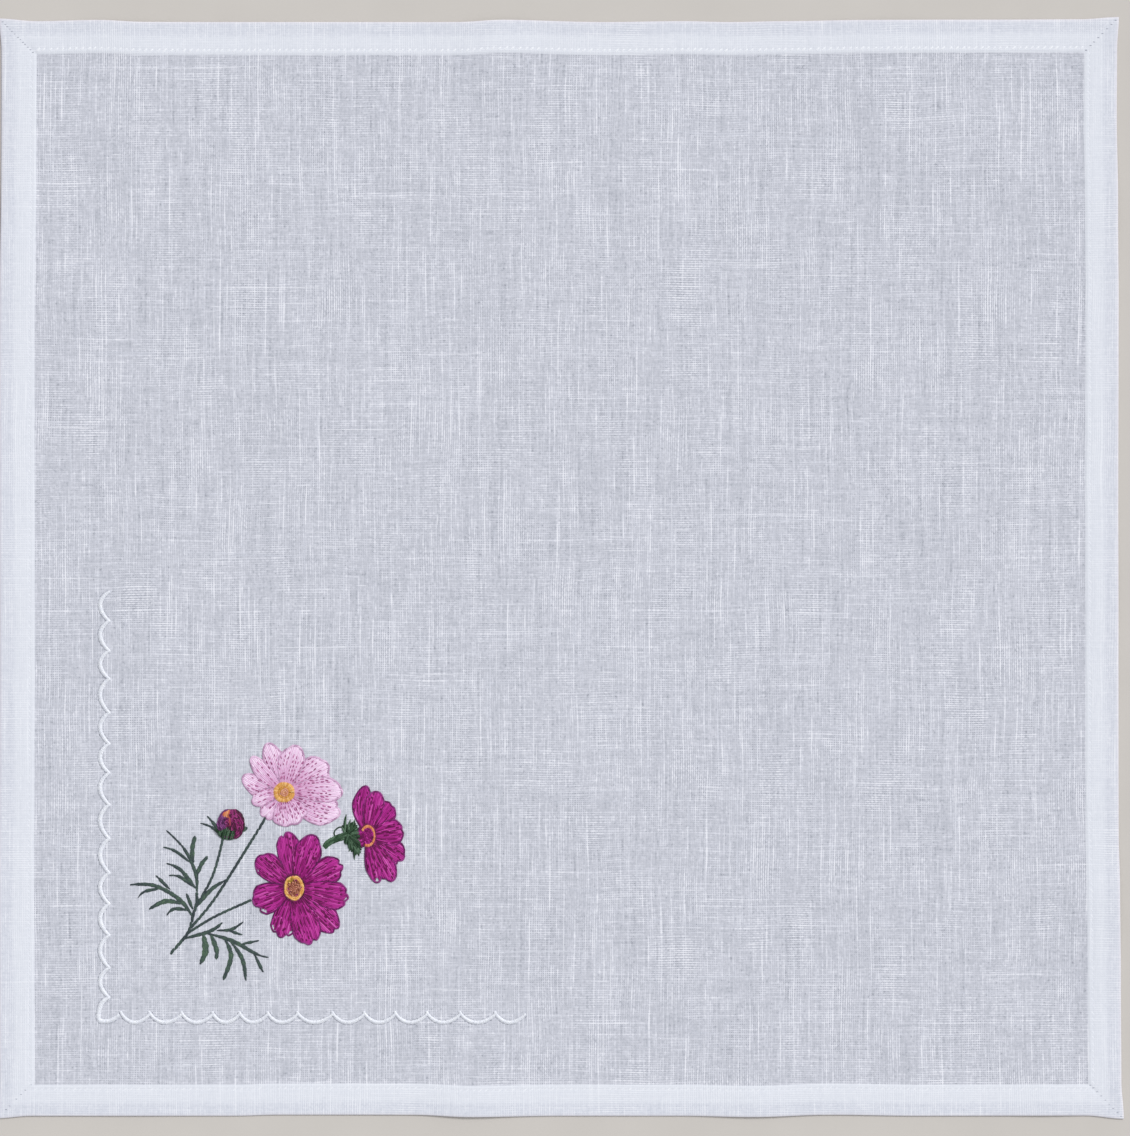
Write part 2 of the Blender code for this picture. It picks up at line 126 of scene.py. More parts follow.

# Hem stitches, which stand up most on the top side, and mitre stitches. Rises and tones are for the top,
# right, bottom and left sides. The tones are painted light, lightest on the top side, which faces the light
HEM_STITCH_LINE = 8.0
HEM_STITCH_PITCH = 1.75
HEM_STITCH_LENGTH = 1.1
HEM_STITCH_HALF_WIDTH = 0.27
HEM_STITCH_SLANT = (0.75, 0.66)
HEM_STITCH_RISES = (0.13, 0.03, 0.05, 0.03)
HEM_STITCH_PAINTED_LIGHT_TONES = (0.9, 0.55, 0.65, 0.55)
MITRE_STITCHES = ((-1, 1, 13), (1, 1, 8), (1, -1, 9), (-1, -1, 7))
MITRE_STITCH_LENGTH = 0.55

# The scalloped line: an upright arm and a level arm that meet near the lower left corner
SCALLOP_DEPTH = 2.6
SCALLOP_STEPS = 30
SCALLOP_RISE = 0.5
UPRIGHT_ARM_TOP = (-122.2, -6.5)
UPRIGHT_ARM_WIDTHS = (7.9, 8.1, 7.6, 9.2, 8.4, 7.9, 8.6, 9.2, 9.3, 8.4, 8.5, 8.8, 8.1)
UPRIGHT_ARM_HALF_WIDTH = 0.54
LEVEL_ARM_START = (-119.2, -120.6)
LEVEL_ARM_WIDTHS = (7.7, 8.7, 8.4, 7.3, 7.6, 8.1, 9.5, 8.6, 8.4, 8.6, 9.0, 9.5, 8.2)
LEVEL_ARM_HALF_WIDTH = 0.50
LEVEL_SCALLOP_SLANT = 0.35
CORNER_HALF_WIDTH = 0.60
CORNER_TURN = (
    (-122.4, -116.5), (-123.7, -117.2), (-124.8, -118.8), (-125.2, -120.8), (-125.1, -122.5),
    (-123.6, -122.9), (-121.8, -122.6), (-120.5, -121.8), (-119.7, -121.1),
)
SATIN_SPACING = 0.27
SATIN_HALF_WIDTH = 0.19
NEEDLE_HOLE_PITCH = 1.0
NEEDLE_HOLE_LENGTH = 0.6
NEEDLE_HOLE_HALF_WIDTH = 0.15

# The flower spray, measured from the foot of its stems
SPRAY_FOOT = (-105.8, -104.6)
PETAL_BASE = 0.13
PETAL_PAD_RISE = 0.3
PETAL_OVERLAP_RISE = 0.12
PETAL_LINE_SPACING = 0.42
PETAL_STITCH_LENGTHS = (1.8, 4.0)
PETAL_STITCH_RISE = 0.13
DASHES_APART = (0.35, 0.7)
NOTCH_WIDTH = 0.16

# Flowers: centre, disc half width and half height, then petals as direction in degrees, length, width,
# how far their corners fall back, and sideways bend. Then places across the tip with depths: notches, and
# gaps where the fill stops short of the cord
PINK_FLOWER = {
    "centre": (30.9, 43.8),
    "disc": (2.9, 2.8),
    "petals": (
        (109.0, 13.9, 5.4, 0.30, -0.2, (), ()),
        (75.0, 13.0, 7.0, 0.30, 0.3, ((0.5, 0.4),), ()),
        (33.0, 14.0, 7.8, 0.20, 0.4, ((0.45, 0.4), (-0.5, 0.5)), ()),
        (1.0, 15.7, 6.8, 0.24, 0.7, ((0.3, 0.3),), ()),
        (-21.0, 16.1, 8.0, 0.24, -1.1, ((0.42, 1.0), (-0.5, 0.3)), ()),
        (-74.0, 9.2, 9.4, 0.24, 0.0, ((-0.1, 0.4), (0.62, 0.5)), ()),
        (-130.0, 8.8, 5.2, 0.24, 0.5, ((0.1, 0.7),), ()),
        (-163.0, 9.0, 4.4, 0.26, -0.5, ((-0.4, 0.4),), ()),
        (160.0, 11.9, 5.8, 0.40, 0.9, (), ((0.75, 0.7),)),
        (133.0, 12.9, 5.0, 0.50, 0.4, (), ()),
    ),
}
FRONT_FLOWER = {
    "centre": (33.6, 17.9),
    "disc": (2.6, 3.3),
    "petals": (
        (98.0, 15.2, 6.0, 0.20, 0.0, ((0.30, 1.1),), ()),
        (69.0, 15.2, 7.2, 0.28, 0.0, ((-0.62, 0.4),), ()),
        (27.0, 14.5, 7.0, 0.20, 0.0, ((0.10, 0.8), (-0.55, 0.7)), ()),
        (-11.0, 14.9, 7.2, 0.18, 0.0, ((0.38, 0.7), (-0.28, 0.6)), ((-0.05, 0.5),)),
        (-45.0, 16.3, 7.0, 0.24, 0.0, ((-0.05, 0.8),), ()),
        (-73.0, 15.9, 7.4, 0.20, 0.0, ((0.22, 1.0), (-0.45, 0.4)), ()),
        (-106.0, 13.9, 6.6, 0.18, 0.0, ((0.42, 0.9), (-0.38, 0.9)), ((0.78, 1.3), (-0.75, 1.1))),
        (-159.0, 11.7, 8.0, 0.20, 0.0, ((0.42, 1.0), (-0.5, 0.4)), ((0.72, 1.3),)),
        (140.0, 12.9, 6.6, 0.22, 0.0, ((-0.45, 0.5),), ((0.9, 0.8),)),
    ),
}
SIDE_FLOWER = {
    "centre": (53.6, 32.0),
    "disc": (2.0, 2.9),
    "petals": (
        (180.0, 2.7, 6.4, 0.40, 0.0, (), ()),
        (-78.0, 12.9, 4.2, 0.30, -0.2, (), ((0.0, 1.6),)),
        (93.0, 13.5, 4.8, 0.30, 1.4, (), ()),
        (78.0, 12.2, 5.4, 0.24, 0.2, (), ()),
        (55.0, 10.7, 6.2, 0.20, 0.0, ((-0.2, 0.4),), ()),
        (8.0, 9.6, 6.8, 0.20, 0.0, ((0.1, 0.3),), ()),
        (-34.0, 11.5, 6.6, 0.22, 0.0, ((-0.35, 0.8), (0.45, 0.3)), ()),
        (-61.0, 13.9, 5.6, 0.26, 0.0, ((-0.5, 0.7),), ()),
    ),
}
WHOLE_RING = (0.0, FULL_TURN)
CRESCENT = (-1.95, 2.5)
DISC_RIM_TRACK = 1.12
GOLD_TRACKS = (0.94, 0.80)
GREEN_KNOTS = 12
BROWN_KNOTS = 150

# Rings of satin stitches in the pink flower's disc: the tracks they run between, spacing, rise, how high
# their foot lies over the cloth, tones
PINK_RINGS = (
    ((0.60, 1.02), 0.36, 0.34, 0.42, (0.45, 1.0)),
    ((0.40, 0.64), 0.34, 0.20, 0.44, (0.25, 0.65)),
)

# The bud, and the green cup from its foot to its rim
BUD_CENTRE = (16.5, 35.2)
BUD_HALF_WIDTH = 3.7
BUD_HALF_HEIGHT = 4.1
BUD_CURLS = 16
BUD_CUP_FOOT = ((12.6, 33.2), (13.2, 32.0), (14.1, 31.3), (15.6, 30.9), (16.9, 31.0))
BUD_CUP_RIM = ((12.3, 34.0), (13.4, 33.4), (14.7, 33.8), (15.8, 34.3), (16.9, 33.8), (17.5, 32.8))
BUD_CUP_STITCHES = 30

# The bud's orange streak: place across, top, bottom, tone
BUD_STREAK = (
    (-0.70, 0.82, 0.56, 0.5), (-0.54, 0.88, 0.46, 0.75), (-0.36, 0.93, 0.46, 0.95), (-0.22, 0.94, 0.42, 0.4),
    (-0.10, 0.62, 0.10, 0.15), (-0.06, 0.34, -0.10, 0.0),
)

# Stems: half width, then a chain of points from the lower end
STEMS = (
    (0.46, ((0.0, 0.0), (3.7, 4.2), (5.3, 6.7), (6.1, 10.1), (7.2, 13.9), (7.2, 16.7))),
    (0.39, ((7.4, 13.5), (11.0, 20.0), (12.9, 25.5), (14.3, 31.4))),
    (0.41, ((5.6, 7.1), (12.1, 15.0), (21.7, 30.1), (26.0, 37.1))),
    (0.38, ((4.7, 5.6), (12.1, 10.1), (22.0, 14.6))),
)
SIDE_STEM = ((41.6, 28.9), (43.2, 30.3), (45.6, 31.4), (48.4, 32.2))
SIDE_STEM_HALF_WIDTH = 0.95

# Fronds of the feathery leaves and the bud's sepals: widest half width, where along them they are widest,
# then a chain of points from root to tip
FROND_SCALE = 0.88
FRONDS = (
    (0.55, 0.25, ((7.2, 16.7), (7.0, 21.5), (4.0, 28.2), (-1.0, 33.5))),
    (0.48, 0.35, ((5.5, 24.7), (1.5, 27.8), (-1.9, 29.0))),
    (0.80, 0.62, ((6.2, 24.7), (6.0, 28.5), (6.8, 32.0))),
    (0.72, 0.50, ((7.1, 20.9), (8.4, 24.2), (10.2, 26.4))),
    (0.62, 0.35, ((6.9, 17.7), (2.8, 22.8), (-1.0, 24.6))),
    (0.55, 0.35, ((6.5, 18.1), (2.6, 20.9), (-0.4, 21.3))),
    (0.70, 0.40, ((6.1, 10.1), (2.6, 14.7), (-4.2, 18.5), (-10.9, 18.8))),
    (0.55, 0.40, ((0.0, 17.4), (-3.9, 21.3))),
    (0.52, 0.35, ((-2.7, 17.7), (-6.9, 16.9), (-8.8, 15.2))),
    (0.75, 0.50, ((3.6, 13.5), (-1.2, 14.3), (-5.8, 12.1))),
    (0.58, 0.55, ((5.1, 11.8), (1.1, 12.2), (-1.0, 10.5))),
    (0.58, 0.45, ((6.1, 12.0), (4.4, 16.4))),
    (0.70, 0.30, ((6.8, 12.5), (11.2, 17.5), (15.2, 20.1))),
    (0.62, 0.55, ((3.7, 4.1), (10.9, 6.2), (14.2, 8.5))),
    (0.52, 0.60, ((12.6, 6.4), (16.5, 6.6), (19.9, 8.7))),
    (0.48, 0.45, ((15.9, 6.3), (19.6, 5.1))),
    (0.60, 0.45, ((9.5, 5.7), (16.7, 3.6), (23.3, 0.0), (26.7, -1.0))),
    (0.48, 0.50, ((19.1, 2.6), (24.1, 3.6))),
    (0.55, 0.60, ((22.7, 0.2), (25.2, -5.0))),
    (0.66, 0.60, ((16.3, 3.6), (19.6, -1.5), (20.5, -7.3))),
    (0.80, 0.62, ((14.9, 4.0), (16.5, -0.7), (14.4, -7.1))),
    (0.82, 0.62, ((10.9, 5.6), (12.6, 1.0), (12.4, -1.5))),
    (1.10, 0.42, ((8.9, 5.6), (9.6, 0.9), (8.1, -2.8))),
    (0.50, 0.40, ((13.4, 32.4), (12.2, 34.8), (10.0, 37.4))),
    (0.48, 0.30, ((13.0, 32.6), (11.3, 34.3), (8.2, 35.5))),
    (0.85, 0.75, ((17.0, 33.2), (18.9, 33.5), (21.0, 34.2))),
)

# The calyx behind the side flower: the edge it holds, its heart, its spikes from root to tip, and a loop
CALYX_EDGE = (
    (47.4, 34.6), (48.7, 35.4), (49.8, 35.6), (50.8, 34.2), (51.4, 32.4), (51.7, 30.2), (51.7, 28.0),
    (50.9, 27.0), (49.8, 27.6), (48.6, 28.6), (47.6, 30.2),
)
CALYX_HEART = (48.3, 32.4)
CALYX_STROKES = 110
CALYX_SPIKES = (
    ((47.1, 33.0), (47.6, 37.9)), ((48.4, 33.4), (48.8, 36.5)), ((49.6, 34.0), (49.9, 36.4)),
    ((47.2, 33.4), (46.5, 35.0)), ((47.6, 31.8), (47.3, 29.6)), ((48.7, 30.8), (48.6, 27.8)),
    ((50.0, 29.6), (50.0, 25.0)), ((51.0, 29.0), (51.1, 26.2)), ((50.3, 29.8), (50.5, 26.6)),
)
CALYX_LOOP = ((47.4, 33.6), (46.4, 34.4), (45.1, 33.9), (44.4, 32.8), (44.8, 31.6))

# Colours: tones from dark to light as (place, red, green, blue)
# The linen's darker tones are partly painted shade: the gaps between threads, where the shaded floor shows
# through
LINEN_AND_GAP_SHADE_TONES = (
    (0.0, 158, 161, 172), (0.3, 191, 194, 204), (0.5, 203, 205, 215), (0.75, 220, 222, 232),
    (1.0, 240, 241, 248),
)
HEM_TONES = ((0.0, 204, 208, 219), (0.5, 220, 223, 233), (1.0, 237, 239, 246))
TURN_IN_COLOUR = (238, 241, 248)
# Painted highlight: the pale pinkish rim where the fold's curve catches the light
FOLD_HIGHLIGHT_COLOUR = (238, 228, 234)
FLOOR_TONES = ((0.3, 204, 199, 193), (0.7, 208, 203, 197))
THREAD_TONES = {
    "white_thread": ((0.0, 200, 204, 215), (0.5, 232, 235, 244), (1.0, 248, 250, 255)),
    "slub_thread": ((0.0, 208, 211, 222), (0.5, 222, 225, 234), (1.0, 242, 243, 250)),
    "magenta_thread": (
        (0.0, 96, 2, 66), (0.35, 140, 16, 106), (0.6, 172, 34, 138), (0.8, 192, 50, 156), (1.0, 214, 96, 184),
    ),
    "pink_thread": ((0.0, 190, 126, 168), (0.3, 218, 162, 202), (0.6, 232, 192, 226), (1.0, 250, 226, 248)),
    "violet_thread": ((0.0, 90, 14, 76), (0.6, 124, 34, 108), (1.0, 156, 64, 138)),
    "mauve_thread": ((0.0, 176, 134, 168), (0.6, 208, 166, 200), (1.0, 236, 202, 230)),
    # Partly painted shade: the dark rose of the dashes where stitches dip into the pink petals
    "rose_thread": ((0.0, 146, 66, 114), (0.5, 178, 100, 150), (1.0, 208, 142, 184)),
    # Painted shade: the dark grey of needle holes, of the dips at the mitre stitches and of the shadow beside
    # the cord
    "needle_hole": ((0.0, 150, 152, 164), (0.5, 172, 175, 187), (1.0, 190, 193, 204)),
    "gold_thread": ((0.0, 150, 126, 34), (0.4, 206, 143, 68), (0.7, 231, 176, 98), (1.0, 245, 206, 140)),
    "tan_thread": ((0.0, 134, 66, 48), (0.5, 190, 120, 98), (1.0, 228, 172, 146)),
    "leaf_thread": ((0.0, 52, 62, 67), (0.35, 65, 82, 78), (0.65, 78, 102, 84), (1.0, 104, 132, 102)),
    "green_thread": ((0.0, 12, 42, 20), (0.4, 40, 68, 44), (0.7, 64, 92, 68), (1.0, 100, 128, 104)),
    "plum_thread": ((0.0, 58, 22, 42), (0.4, 106, 26, 76), (0.75, 146, 38, 110), (1.0, 168, 64, 132)),
    "iris_thread": ((0.0, 72, 28, 72), (0.5, 106, 46, 104), (1.0, 142, 78, 140)),
    "orange_thread": ((0.0, 156, 60, 84), (0.5, 204, 108, 70), (1.0, 238, 170, 116)),
}
THREAD_FINISH = {
    "white_thread": {"sheen": 0.2},
    "slub_thread": {"roughness": 0.85, "sheen": 0.1},
    "magenta_thread": {"twist": 0.0},
    "pink_thread": {"twist": 0.0},
    "needle_hole": {"roughness": 0.9},
}

# The stage: a floor, soft light, and a camera straight above, its frame 307.9 high at the cloth
FLOOR_SIZE = 6000.0
SKY_COLOUR = (0.95, 0.97, 1.0, 1.0)
SKY_STRENGTH = 0.55
SUN_COLOUR = (1.0, 0.99, 0.98)
SUN_STRENGTH = 1.9
SUN_WIDTH_DEGREES = 18.0
SUN_TURN_DEGREES = (-28.0, 34.0, 0.0)
CAMERA_HEIGHT = 1000.0
CAMERA_OFFSET = 1.22
CAMERA_REACH_METRES = (0.05, 20.0)
FACE_LEVEL = 0.5
FRAME_HEIGHT = 307.9
SENSOR_SIZE = 36.0


# Plain helpers

def within(value, low=0.0, high=1.0):
    """A value kept between two limits."""
    return max(low, min(high, value))


def shares(count):
    """Evenly spaced shares from 0 to 1."""
    return [step / (count - 1) for step in range(count)]


def between(rows, share):
    """The value at a share along a table of (share, value) rows, eased from row to row."""
    for (start, low), (end, high) in zip(rows, rows[1:]):
        if share <= end:
            part = max(0.0, (share - start) / (end - start))
            return low + (high - low) * (1.0 - math.cos(math.pi * part)) / 2.0
    return rows[-1][1]


def mid_point(start, end, share):
    """The point at a share of the way from start to end."""
    return start[0] + (end[0] - start[0]) * share, start[1] + (end[1] - start[1]) * share


def around(x, y, radius, angle):
    """The point at an angle on a circle."""
    return x + radius * math.cos(angle), y + radius * math.sin(angle)


def strayed(chance, point, stray):
    """A point moved a little by chance."""
    return point[0] + chance.uniform(-stray, stray), point[1] + chance.uniform(-stray, stray)


def smooth_chain(points, steps):
    """A chain of points made smooth with a Catmull-Rom curve."""
    if len(points) < 3:
        points = [points[0], mid_point(points[0], points[1], 0.5), points[1]]
    ends = [points[0], *points, points[-1]]
    chain = []
    for before, start, end, after in zip(ends, ends[1:], ends[2:], ends[3:]):
        for step in range(steps):
            t = step / steps
            weights = (
                -t + 2 * t * t - t ** 3,
                2 - 5 * t * t + 3 * t ** 3,
                t + 4 * t * t - 3 * t ** 3,
                t ** 3 - t * t,
            )
            chain.append(tuple(
                0.5 * sum(weight * value for weight, value in zip(weights, values))
                for values in zip(before, start, end, after)
            ))
    return chain + [tuple(points[-1])]


def grid_faces(first, high, wide):
    """The faces of a grid of points, row by row."""
    corners = [first + row * wide + column for row in range(high - 1) for column in range(wide - 1)]
    return [(corner, corner + 1, corner + wide + 1, corner + wide) for corner in corners]


class Line:
    """A polyline that can be read at any distance along it."""

    def __init__(self, points):
        self.points = np.array(points, dtype=float)
        steps = np.hypot(*np.diff(self.points, axis=0).T)
        self.distances = np.concatenate(([0.0], np.cumsum(steps)))
        self.length = float(self.distances[-1])

    def at(self, distance):
        """The point at a distance along the line."""
        return tuple(float(np.interp(distance, self.distances, values)) for values in self.points.T)

    def beside(self, distance, offset):
        """The point at a distance along the line and an offset to its left."""
        x, y = self.at(distance)
        ax, ay = self.at(max(0.0, distance - 0.15))
        bx, by = self.at(min(self.length, distance + 0.15))
        size = math.hypot(bx - ax, by - ay) or 1.0
        return x - (by - ay) / size * offset, y + (bx - ax) / size * offset


# The shape of the cloth

def side_bow(side, x, y):
    """How far a side of the cloth stands in from its square."""
    share = x / CLOTH_WIDTH + 0.5 if side in ("top", "bottom") else 0.5 - y / CLOTH_LENGTH
    return between(SIDE_BOWS[side], share)


def side_depths(x, y):
    """How far a point lies in from each side."""
    square = {
        "top": CLOTH_LENGTH / 2 - y, "bottom": y + CLOTH_LENGTH / 2,
        "left": x + CLOTH_WIDTH / 2, "right": CLOTH_WIDTH / 2 - x,
    }
    return {side: depth - side_bow(side, x, y) for side, depth in square.items()}


def rest_height(x, y):
    """How far the cloth's underside lies over the floor: the ripples at its sides and its soft unevenness."""
    depths = side_depths(x, y)
    total = 0.05 * (1.0 + math.sin(x / 17.0 + 0.8 * math.sin(y / 23.0)) * math.cos(y / 14.0 + 1.1))
    total += 0.03 * (1.0 + math.sin(x / 6.1 + y / 31.0) * math.sin(y / 7.3 - x / 40.0))
    for side, share, rise, half_width, reach in RIPPLES:
        if side in ("top", "bottom"):
            along = x - (share - 0.5) * CLOTH_WIDTH
        else:
            along = y - (0.5 - share) * CLOTH_LENGTH
        inward = max(0.0, depths[side])
        total += rise * math.exp(-((along / half_width) ** 2) - (inward / reach) ** 2)
    return total


def section(rows, depth):
    """The height at a depth in a table of (depth, height) rows."""
    return float(np.interp(depth, *zip(*rows)))


def face_height(x, y):
    """The height of the cloth's face over the floor."""
    depth = min(depth / HEM_SHARES[side] for side, depth in side_depths(x, y).items())
    return rest_height(x, y) + section(HEM_FACE, max(0.0, depth))


def on_cloth(point, over=0.0):
    """A point with its height: the cloth's face there, and what it stands over it."""
    x, y = point
    return x, y, face_height(x, y) + over


def from_square(x, y):
    """Moves a point of the plain square to where it lies on the cloth with its bowed sides."""
    def moved(side, depth):
        return side_bow(side, x, y) * within(1.0 - (depth - BOW_FADES_FROM) / BOW_FADES_OVER)

    return (
        x + moved("left", x + CLOTH_WIDTH / 2) - moved("right", CLOTH_WIDTH / 2 - x),
        y + moved("bottom", y + CLOTH_LENGTH / 2) - moved("top", CLOTH_LENGTH / 2 - y),
    )


def square_lines(size, first, last):
    """The grid lines from one side of the square cloth to the other: close over both hems, wider between."""
    start = [row[0] * HEM_SHARES[first] - size / 2 for row in HEM_FACE]
    end = [size / 2 - row[0] * HEM_SHARES[last] for row in reversed(HEM_FACE)]
    count = round((end[0] - start[-1]) / FIELD_LINE_SPACING)
    field = [start[-1] + (end[0] - start[-1]) * step / count for step in range(1, count)]
    return start + field + end


def unrolled(lines):
    """Shares of the grid lines for a texture, with room for the steep faces of the fold and hem."""
    steps = [max(0.2, end - start) for start, end in zip(lines, lines[1:])]
    places = np.concatenate(([0.0], np.cumsum(steps)))
    return places / places[-1]


def hem_depth(place, size, first, last):
    """How far a grid line lies in from the nearer side, in widths of a full hem."""
    return min((place + size / 2) / HEM_SHARES[first], (size / 2 - place) / HEM_SHARES[last])


def mitre_dip(depth_x, depth_y):
    """How far a mitre seam lowers the hem, along the diagonal of each corner."""
    nearer = min(depth_x, depth_y)
    if nearer > HEM_WIDTH:
        return 0.0
    return MITRE_DIP * math.exp(-(((depth_x - depth_y) / MITRE_DIP_WIDTH) ** 2)) * min(1.0, nearer)


def cloth_mesh():
    """The sheet with its hem: a face and an underside over one grid, closed round the fold."""
    columns = square_lines(CLOTH_WIDTH, "left", "right")
    rows = square_lines(CLOTH_LENGTH, "bottom", "top")
    across, up = unrolled(columns), unrolled(rows)
    vertices, places, marks = [], [], {"hem": [], "turn_in": [], "fold": []}
    for heights in (HEM_FACE, HEM_UNDERSIDE):
        for row, y in enumerate(rows):
            for column, x in enumerate(columns):
                depth_x = hem_depth(x, CLOTH_WIDTH, "left", "right")
                depth_y = hem_depth(y, CLOTH_LENGTH, "bottom", "top")
                depth = min(depth_x, depth_y)
                point = from_square(x, y)
                height = rest_height(*point) + section(heights, depth)
                if heights is HEM_FACE:
                    height -= mitre_dip(depth_x, depth_y)
                vertices.append((*point, height))
                places.append((across[column], up[row]))
                in_hem = depth < HEM_WIDTH + 0.01
                marks["hem"].append(float(in_hem))
                marks["turn_in"].append(float(in_hem and depth > HEM_WIDTH - TURN_IN_WIDTH))
                # Painted highlight along the outer fold, fading inwards
                marks["fold"].append(max(0.0, 1.0 - depth / FOLD_HIGHLIGHT_WIDTH))
    wide, high = len(columns), len(rows)
    below = wide * high
    faces = []
    for face in grid_faces(0, high, wide):
        faces += [face, tuple(index + below for index in reversed(face))]
    rim = [*range(wide), *range(2 * wide - 1, below, wide)]
    rim += [*range(below - 2, below - wide - 1, -1), *range(below - 2 * wide, 0, -wide)]
    for start, end in zip(rim, rim[1:] + rim[:1]):
        faces.append((start, start + below, end + below, end))
    return vertices, faces, marks, places


# Meshes

def add_object(name, data):
    """A new object in the scene."""
    made = bpy.data.objects.new(name, data)
    bpy.context.scene.collection.objects.link(made)
    return made


def mesh_object(name, material, vertices, faces, attributes, places=None):
    """A smooth mesh object with float attributes on its points and a flat texture map."""
    mesh = bpy.data.meshes.new(name)
    scaled = np.array(vertices, dtype=float) * METRES_PER_MM
    mesh.from_pydata(scaled.tolist(), [], faces)
    for key, values in attributes.items():
        mesh.attributes.new(key, "FLOAT", "POINT").data.foreach_set("value", values)
    if places is None:
        flat = scaled[:, :2]
        low, high = flat.min(axis=0), flat.max(axis=0)
        places = 0.01 + 0.98 * (flat - low) / (high - low).max()
    layer = mesh.uv_layers.new(name="OFBake")
    corners = np.zeros(len(mesh.loops), dtype=int)
    mesh.loops.foreach_get("vertex_index", corners)
    layer.data.foreach_set("uv", np.array(places)[corners].ravel())
    mesh.shade_smooth()
    mesh.materials.append(material)
    return add_object(name, mesh)


class Threads:
    """Collects the stitches of one piece. Each is a rounded strip that dips into the cloth at its ends."""

    def __init__(self, seed):
        self.chance = random.Random(seed)
        self.vertices, self.faces, self.marks = [], [], []

    def add(self, point, tone, along=0.0, across=0.0):
        """One point, and what the material reads there."""
        self.vertices.append(point)
        self.marks.append((tone, along, across))

    def strip(self, path, half_widths, rises, tone, sink=0.06, strand=ROUND_SECTION):
        """One strand along a path of (x, y, height of what it lies on)."""
        first, distance = len(self.vertices), 0.0
        for index, (x, y, base) in enumerate(path):
            ahead, behind = path[min(index + 1, len(path) - 1)], path[max(index - 1, 0)]
            dx, dy = ahead[0] - behind[0], ahead[1] - behind[1]
            size = math.hypot(dx, dy) or 1.0
            if index:
                distance += math.dist(path[index - 1][:2], (x, y))
            for side, lift in strand:
                reach = half_widths[index] * side / size
                height = base + rises[index] * lift - sink * (1.0 - lift)
                self.add((x - dy * reach, y + dx * reach, height), tone, distance, side)
        faces = grid_faces(first, len(path), len(strand))
        self.faces += [(a, d, c, b) for a, b, c, d in faces]

    def stitch(self, path, half_width, rise, tone, sink=0.06):
        """One stitch: a strand that is fullest in its middle and dives at both ends."""
        fullness = [math.sin(math.pi * (0.06 + 0.88 * share)) ** 0.5 for share in shares(len(path))]
        half_widths = half_width if isinstance(half_width, list) else [half_width] * len(path)
        widths = [width * (0.55 + 0.45 * full) for width, full in zip(half_widths, fullness)]
        rises = [rise * (full - 0.25) / 0.75 for full in fullness]
        self.strip(path, widths, rises, tone, sink)

    def knot(self, point, radius, rise, tone):
        """One small round knot, with painted light: lighter on its top and darker towards its foot."""
        x, y, base = point
        first = len(self.vertices)
        # Painted highlight on the knot's top; the rings below are painted darker towards its foot, as shade
        self.add((x, y, base + rise), min(1.0, tone + 0.1))
        for ring in range(1, KNOT_RINGS + 1):
            share = ring / KNOT_RINGS
            fall = math.pi / 2 * share
            height = base + rise * math.cos(fall) - 0.05 * (ring == KNOT_RINGS)
            for turn in range(KNOT_SIDES):
                angle = FULL_TURN * turn / KNOT_SIDES
                edge = (*around(x, y, radius * math.sin(fall), angle), height)
                self.add(edge, tone * (1.0 - 0.3 * share), angle, share)
        for turn in range(KNOT_SIDES):
            here, after = first + 1 + turn, first + 1 + (turn + 1) % KNOT_SIDES
            self.faces.append((first, here, after))
            for down in range(0, KNOT_SIDES * (KNOT_RINGS - 1), KNOT_SIDES):
                outer = down + KNOT_SIDES
                self.faces.append((here + down, here + outer, after + outer, after + down))

    def patch(self, grid, tone):
        """A small surface over a grid of points, such as the padding under a petal."""
        self.faces += grid_faces(len(self.vertices), len(grid), len(grid[0]))
        for row in grid:
            for point in row:
                self.add(point, tone)

    def stem_stitch(self, line, half_width, rise, pitch, length, tones, base=0.0, slant=0.5):
        """A row of short slanted stitches along a line, each starting beside the one before. The half
        width and the tones may be functions of the share of the line."""
        chance, distance = self.chance, 0.0
        while distance < line.length - 0.3 * length:
            end = min(line.length, distance + length * chance.uniform(*UNEVEN))
            path, widths = [], []
            for share in shares(5):
                place = distance + (end - distance) * share
                width = half_width(place / line.length) if callable(half_width) else half_width
                path.append(on_cloth(line.beside(place, width * slant * (2 * share - 1)), base))
                widths.append(width)
            middle = (distance + end) / 2 / line.length
            tone = tones(middle) if callable(tones) else chance.uniform(*tones)
            self.stitch(path, widths, rise, tone)
            distance += pitch * chance.uniform(*UNEVEN)

    def piece(self, name, material):
        """The finished mesh object."""
        attributes = dict(zip(("tone", "along", "across"), zip(*self.marks)))
        return mesh_object(name, material, self.vertices, self.faces, attributes)


# Thread on the cloth

def slubs(threads, chance):
    """Thick places of the warp and weft that stand up from the weave."""
    inner_x, inner_y = CLOTH_WIDTH / 2 - HEM_WIDTH - 2.5, CLOTH_LENGTH / 2 - HEM_WIDTH - 2.0
    for _ in range(SLUB_COUNT):
        upright = chance.random() < SLUB_UPRIGHT_SHARE
        length = SLUB_LENGTHS[0] * (SLUB_LENGTHS[1] / SLUB_LENGTHS[0]) ** (chance.random() ** 1.4)
        half_width = chance.uniform(*SLUB_HALF_WIDTHS)
        tone = chance.random() ** 1.3
        x, y = chance.uniform(-inner_x, inner_x), chance.uniform(-inner_y, inner_y)
        bend, phase = chance.uniform(-SLUB_BEND, SLUB_BEND), chance.uniform(*ANY_PHASE)
        path, widths, rises = [], [], []
        for share in shares(max(4, round(length / 3.0)) + 1):
            along = (share - 0.5) * length
            aside = bend * math.sin(phase + along / 9.0)
            place_x, place_y = (x + aside, y + along) if upright else (x + along, y + aside)
            full = math.sin(math.pi * share) ** 0.6
            swell = 0.75 + 0.25 * math.sin(phase + along * 1.3)
            path.append(on_cloth((within(place_x, -inner_x, inner_x), within(place_y, -inner_y, inner_y))))
            widths.append(half_width * (0.25 + 0.75 * full * swell))
            rises.append(SLUB_RISE * full)
        threads.strip(path, widths, rises, tone, sink=0.02, strand=PLAIN_SECTION)


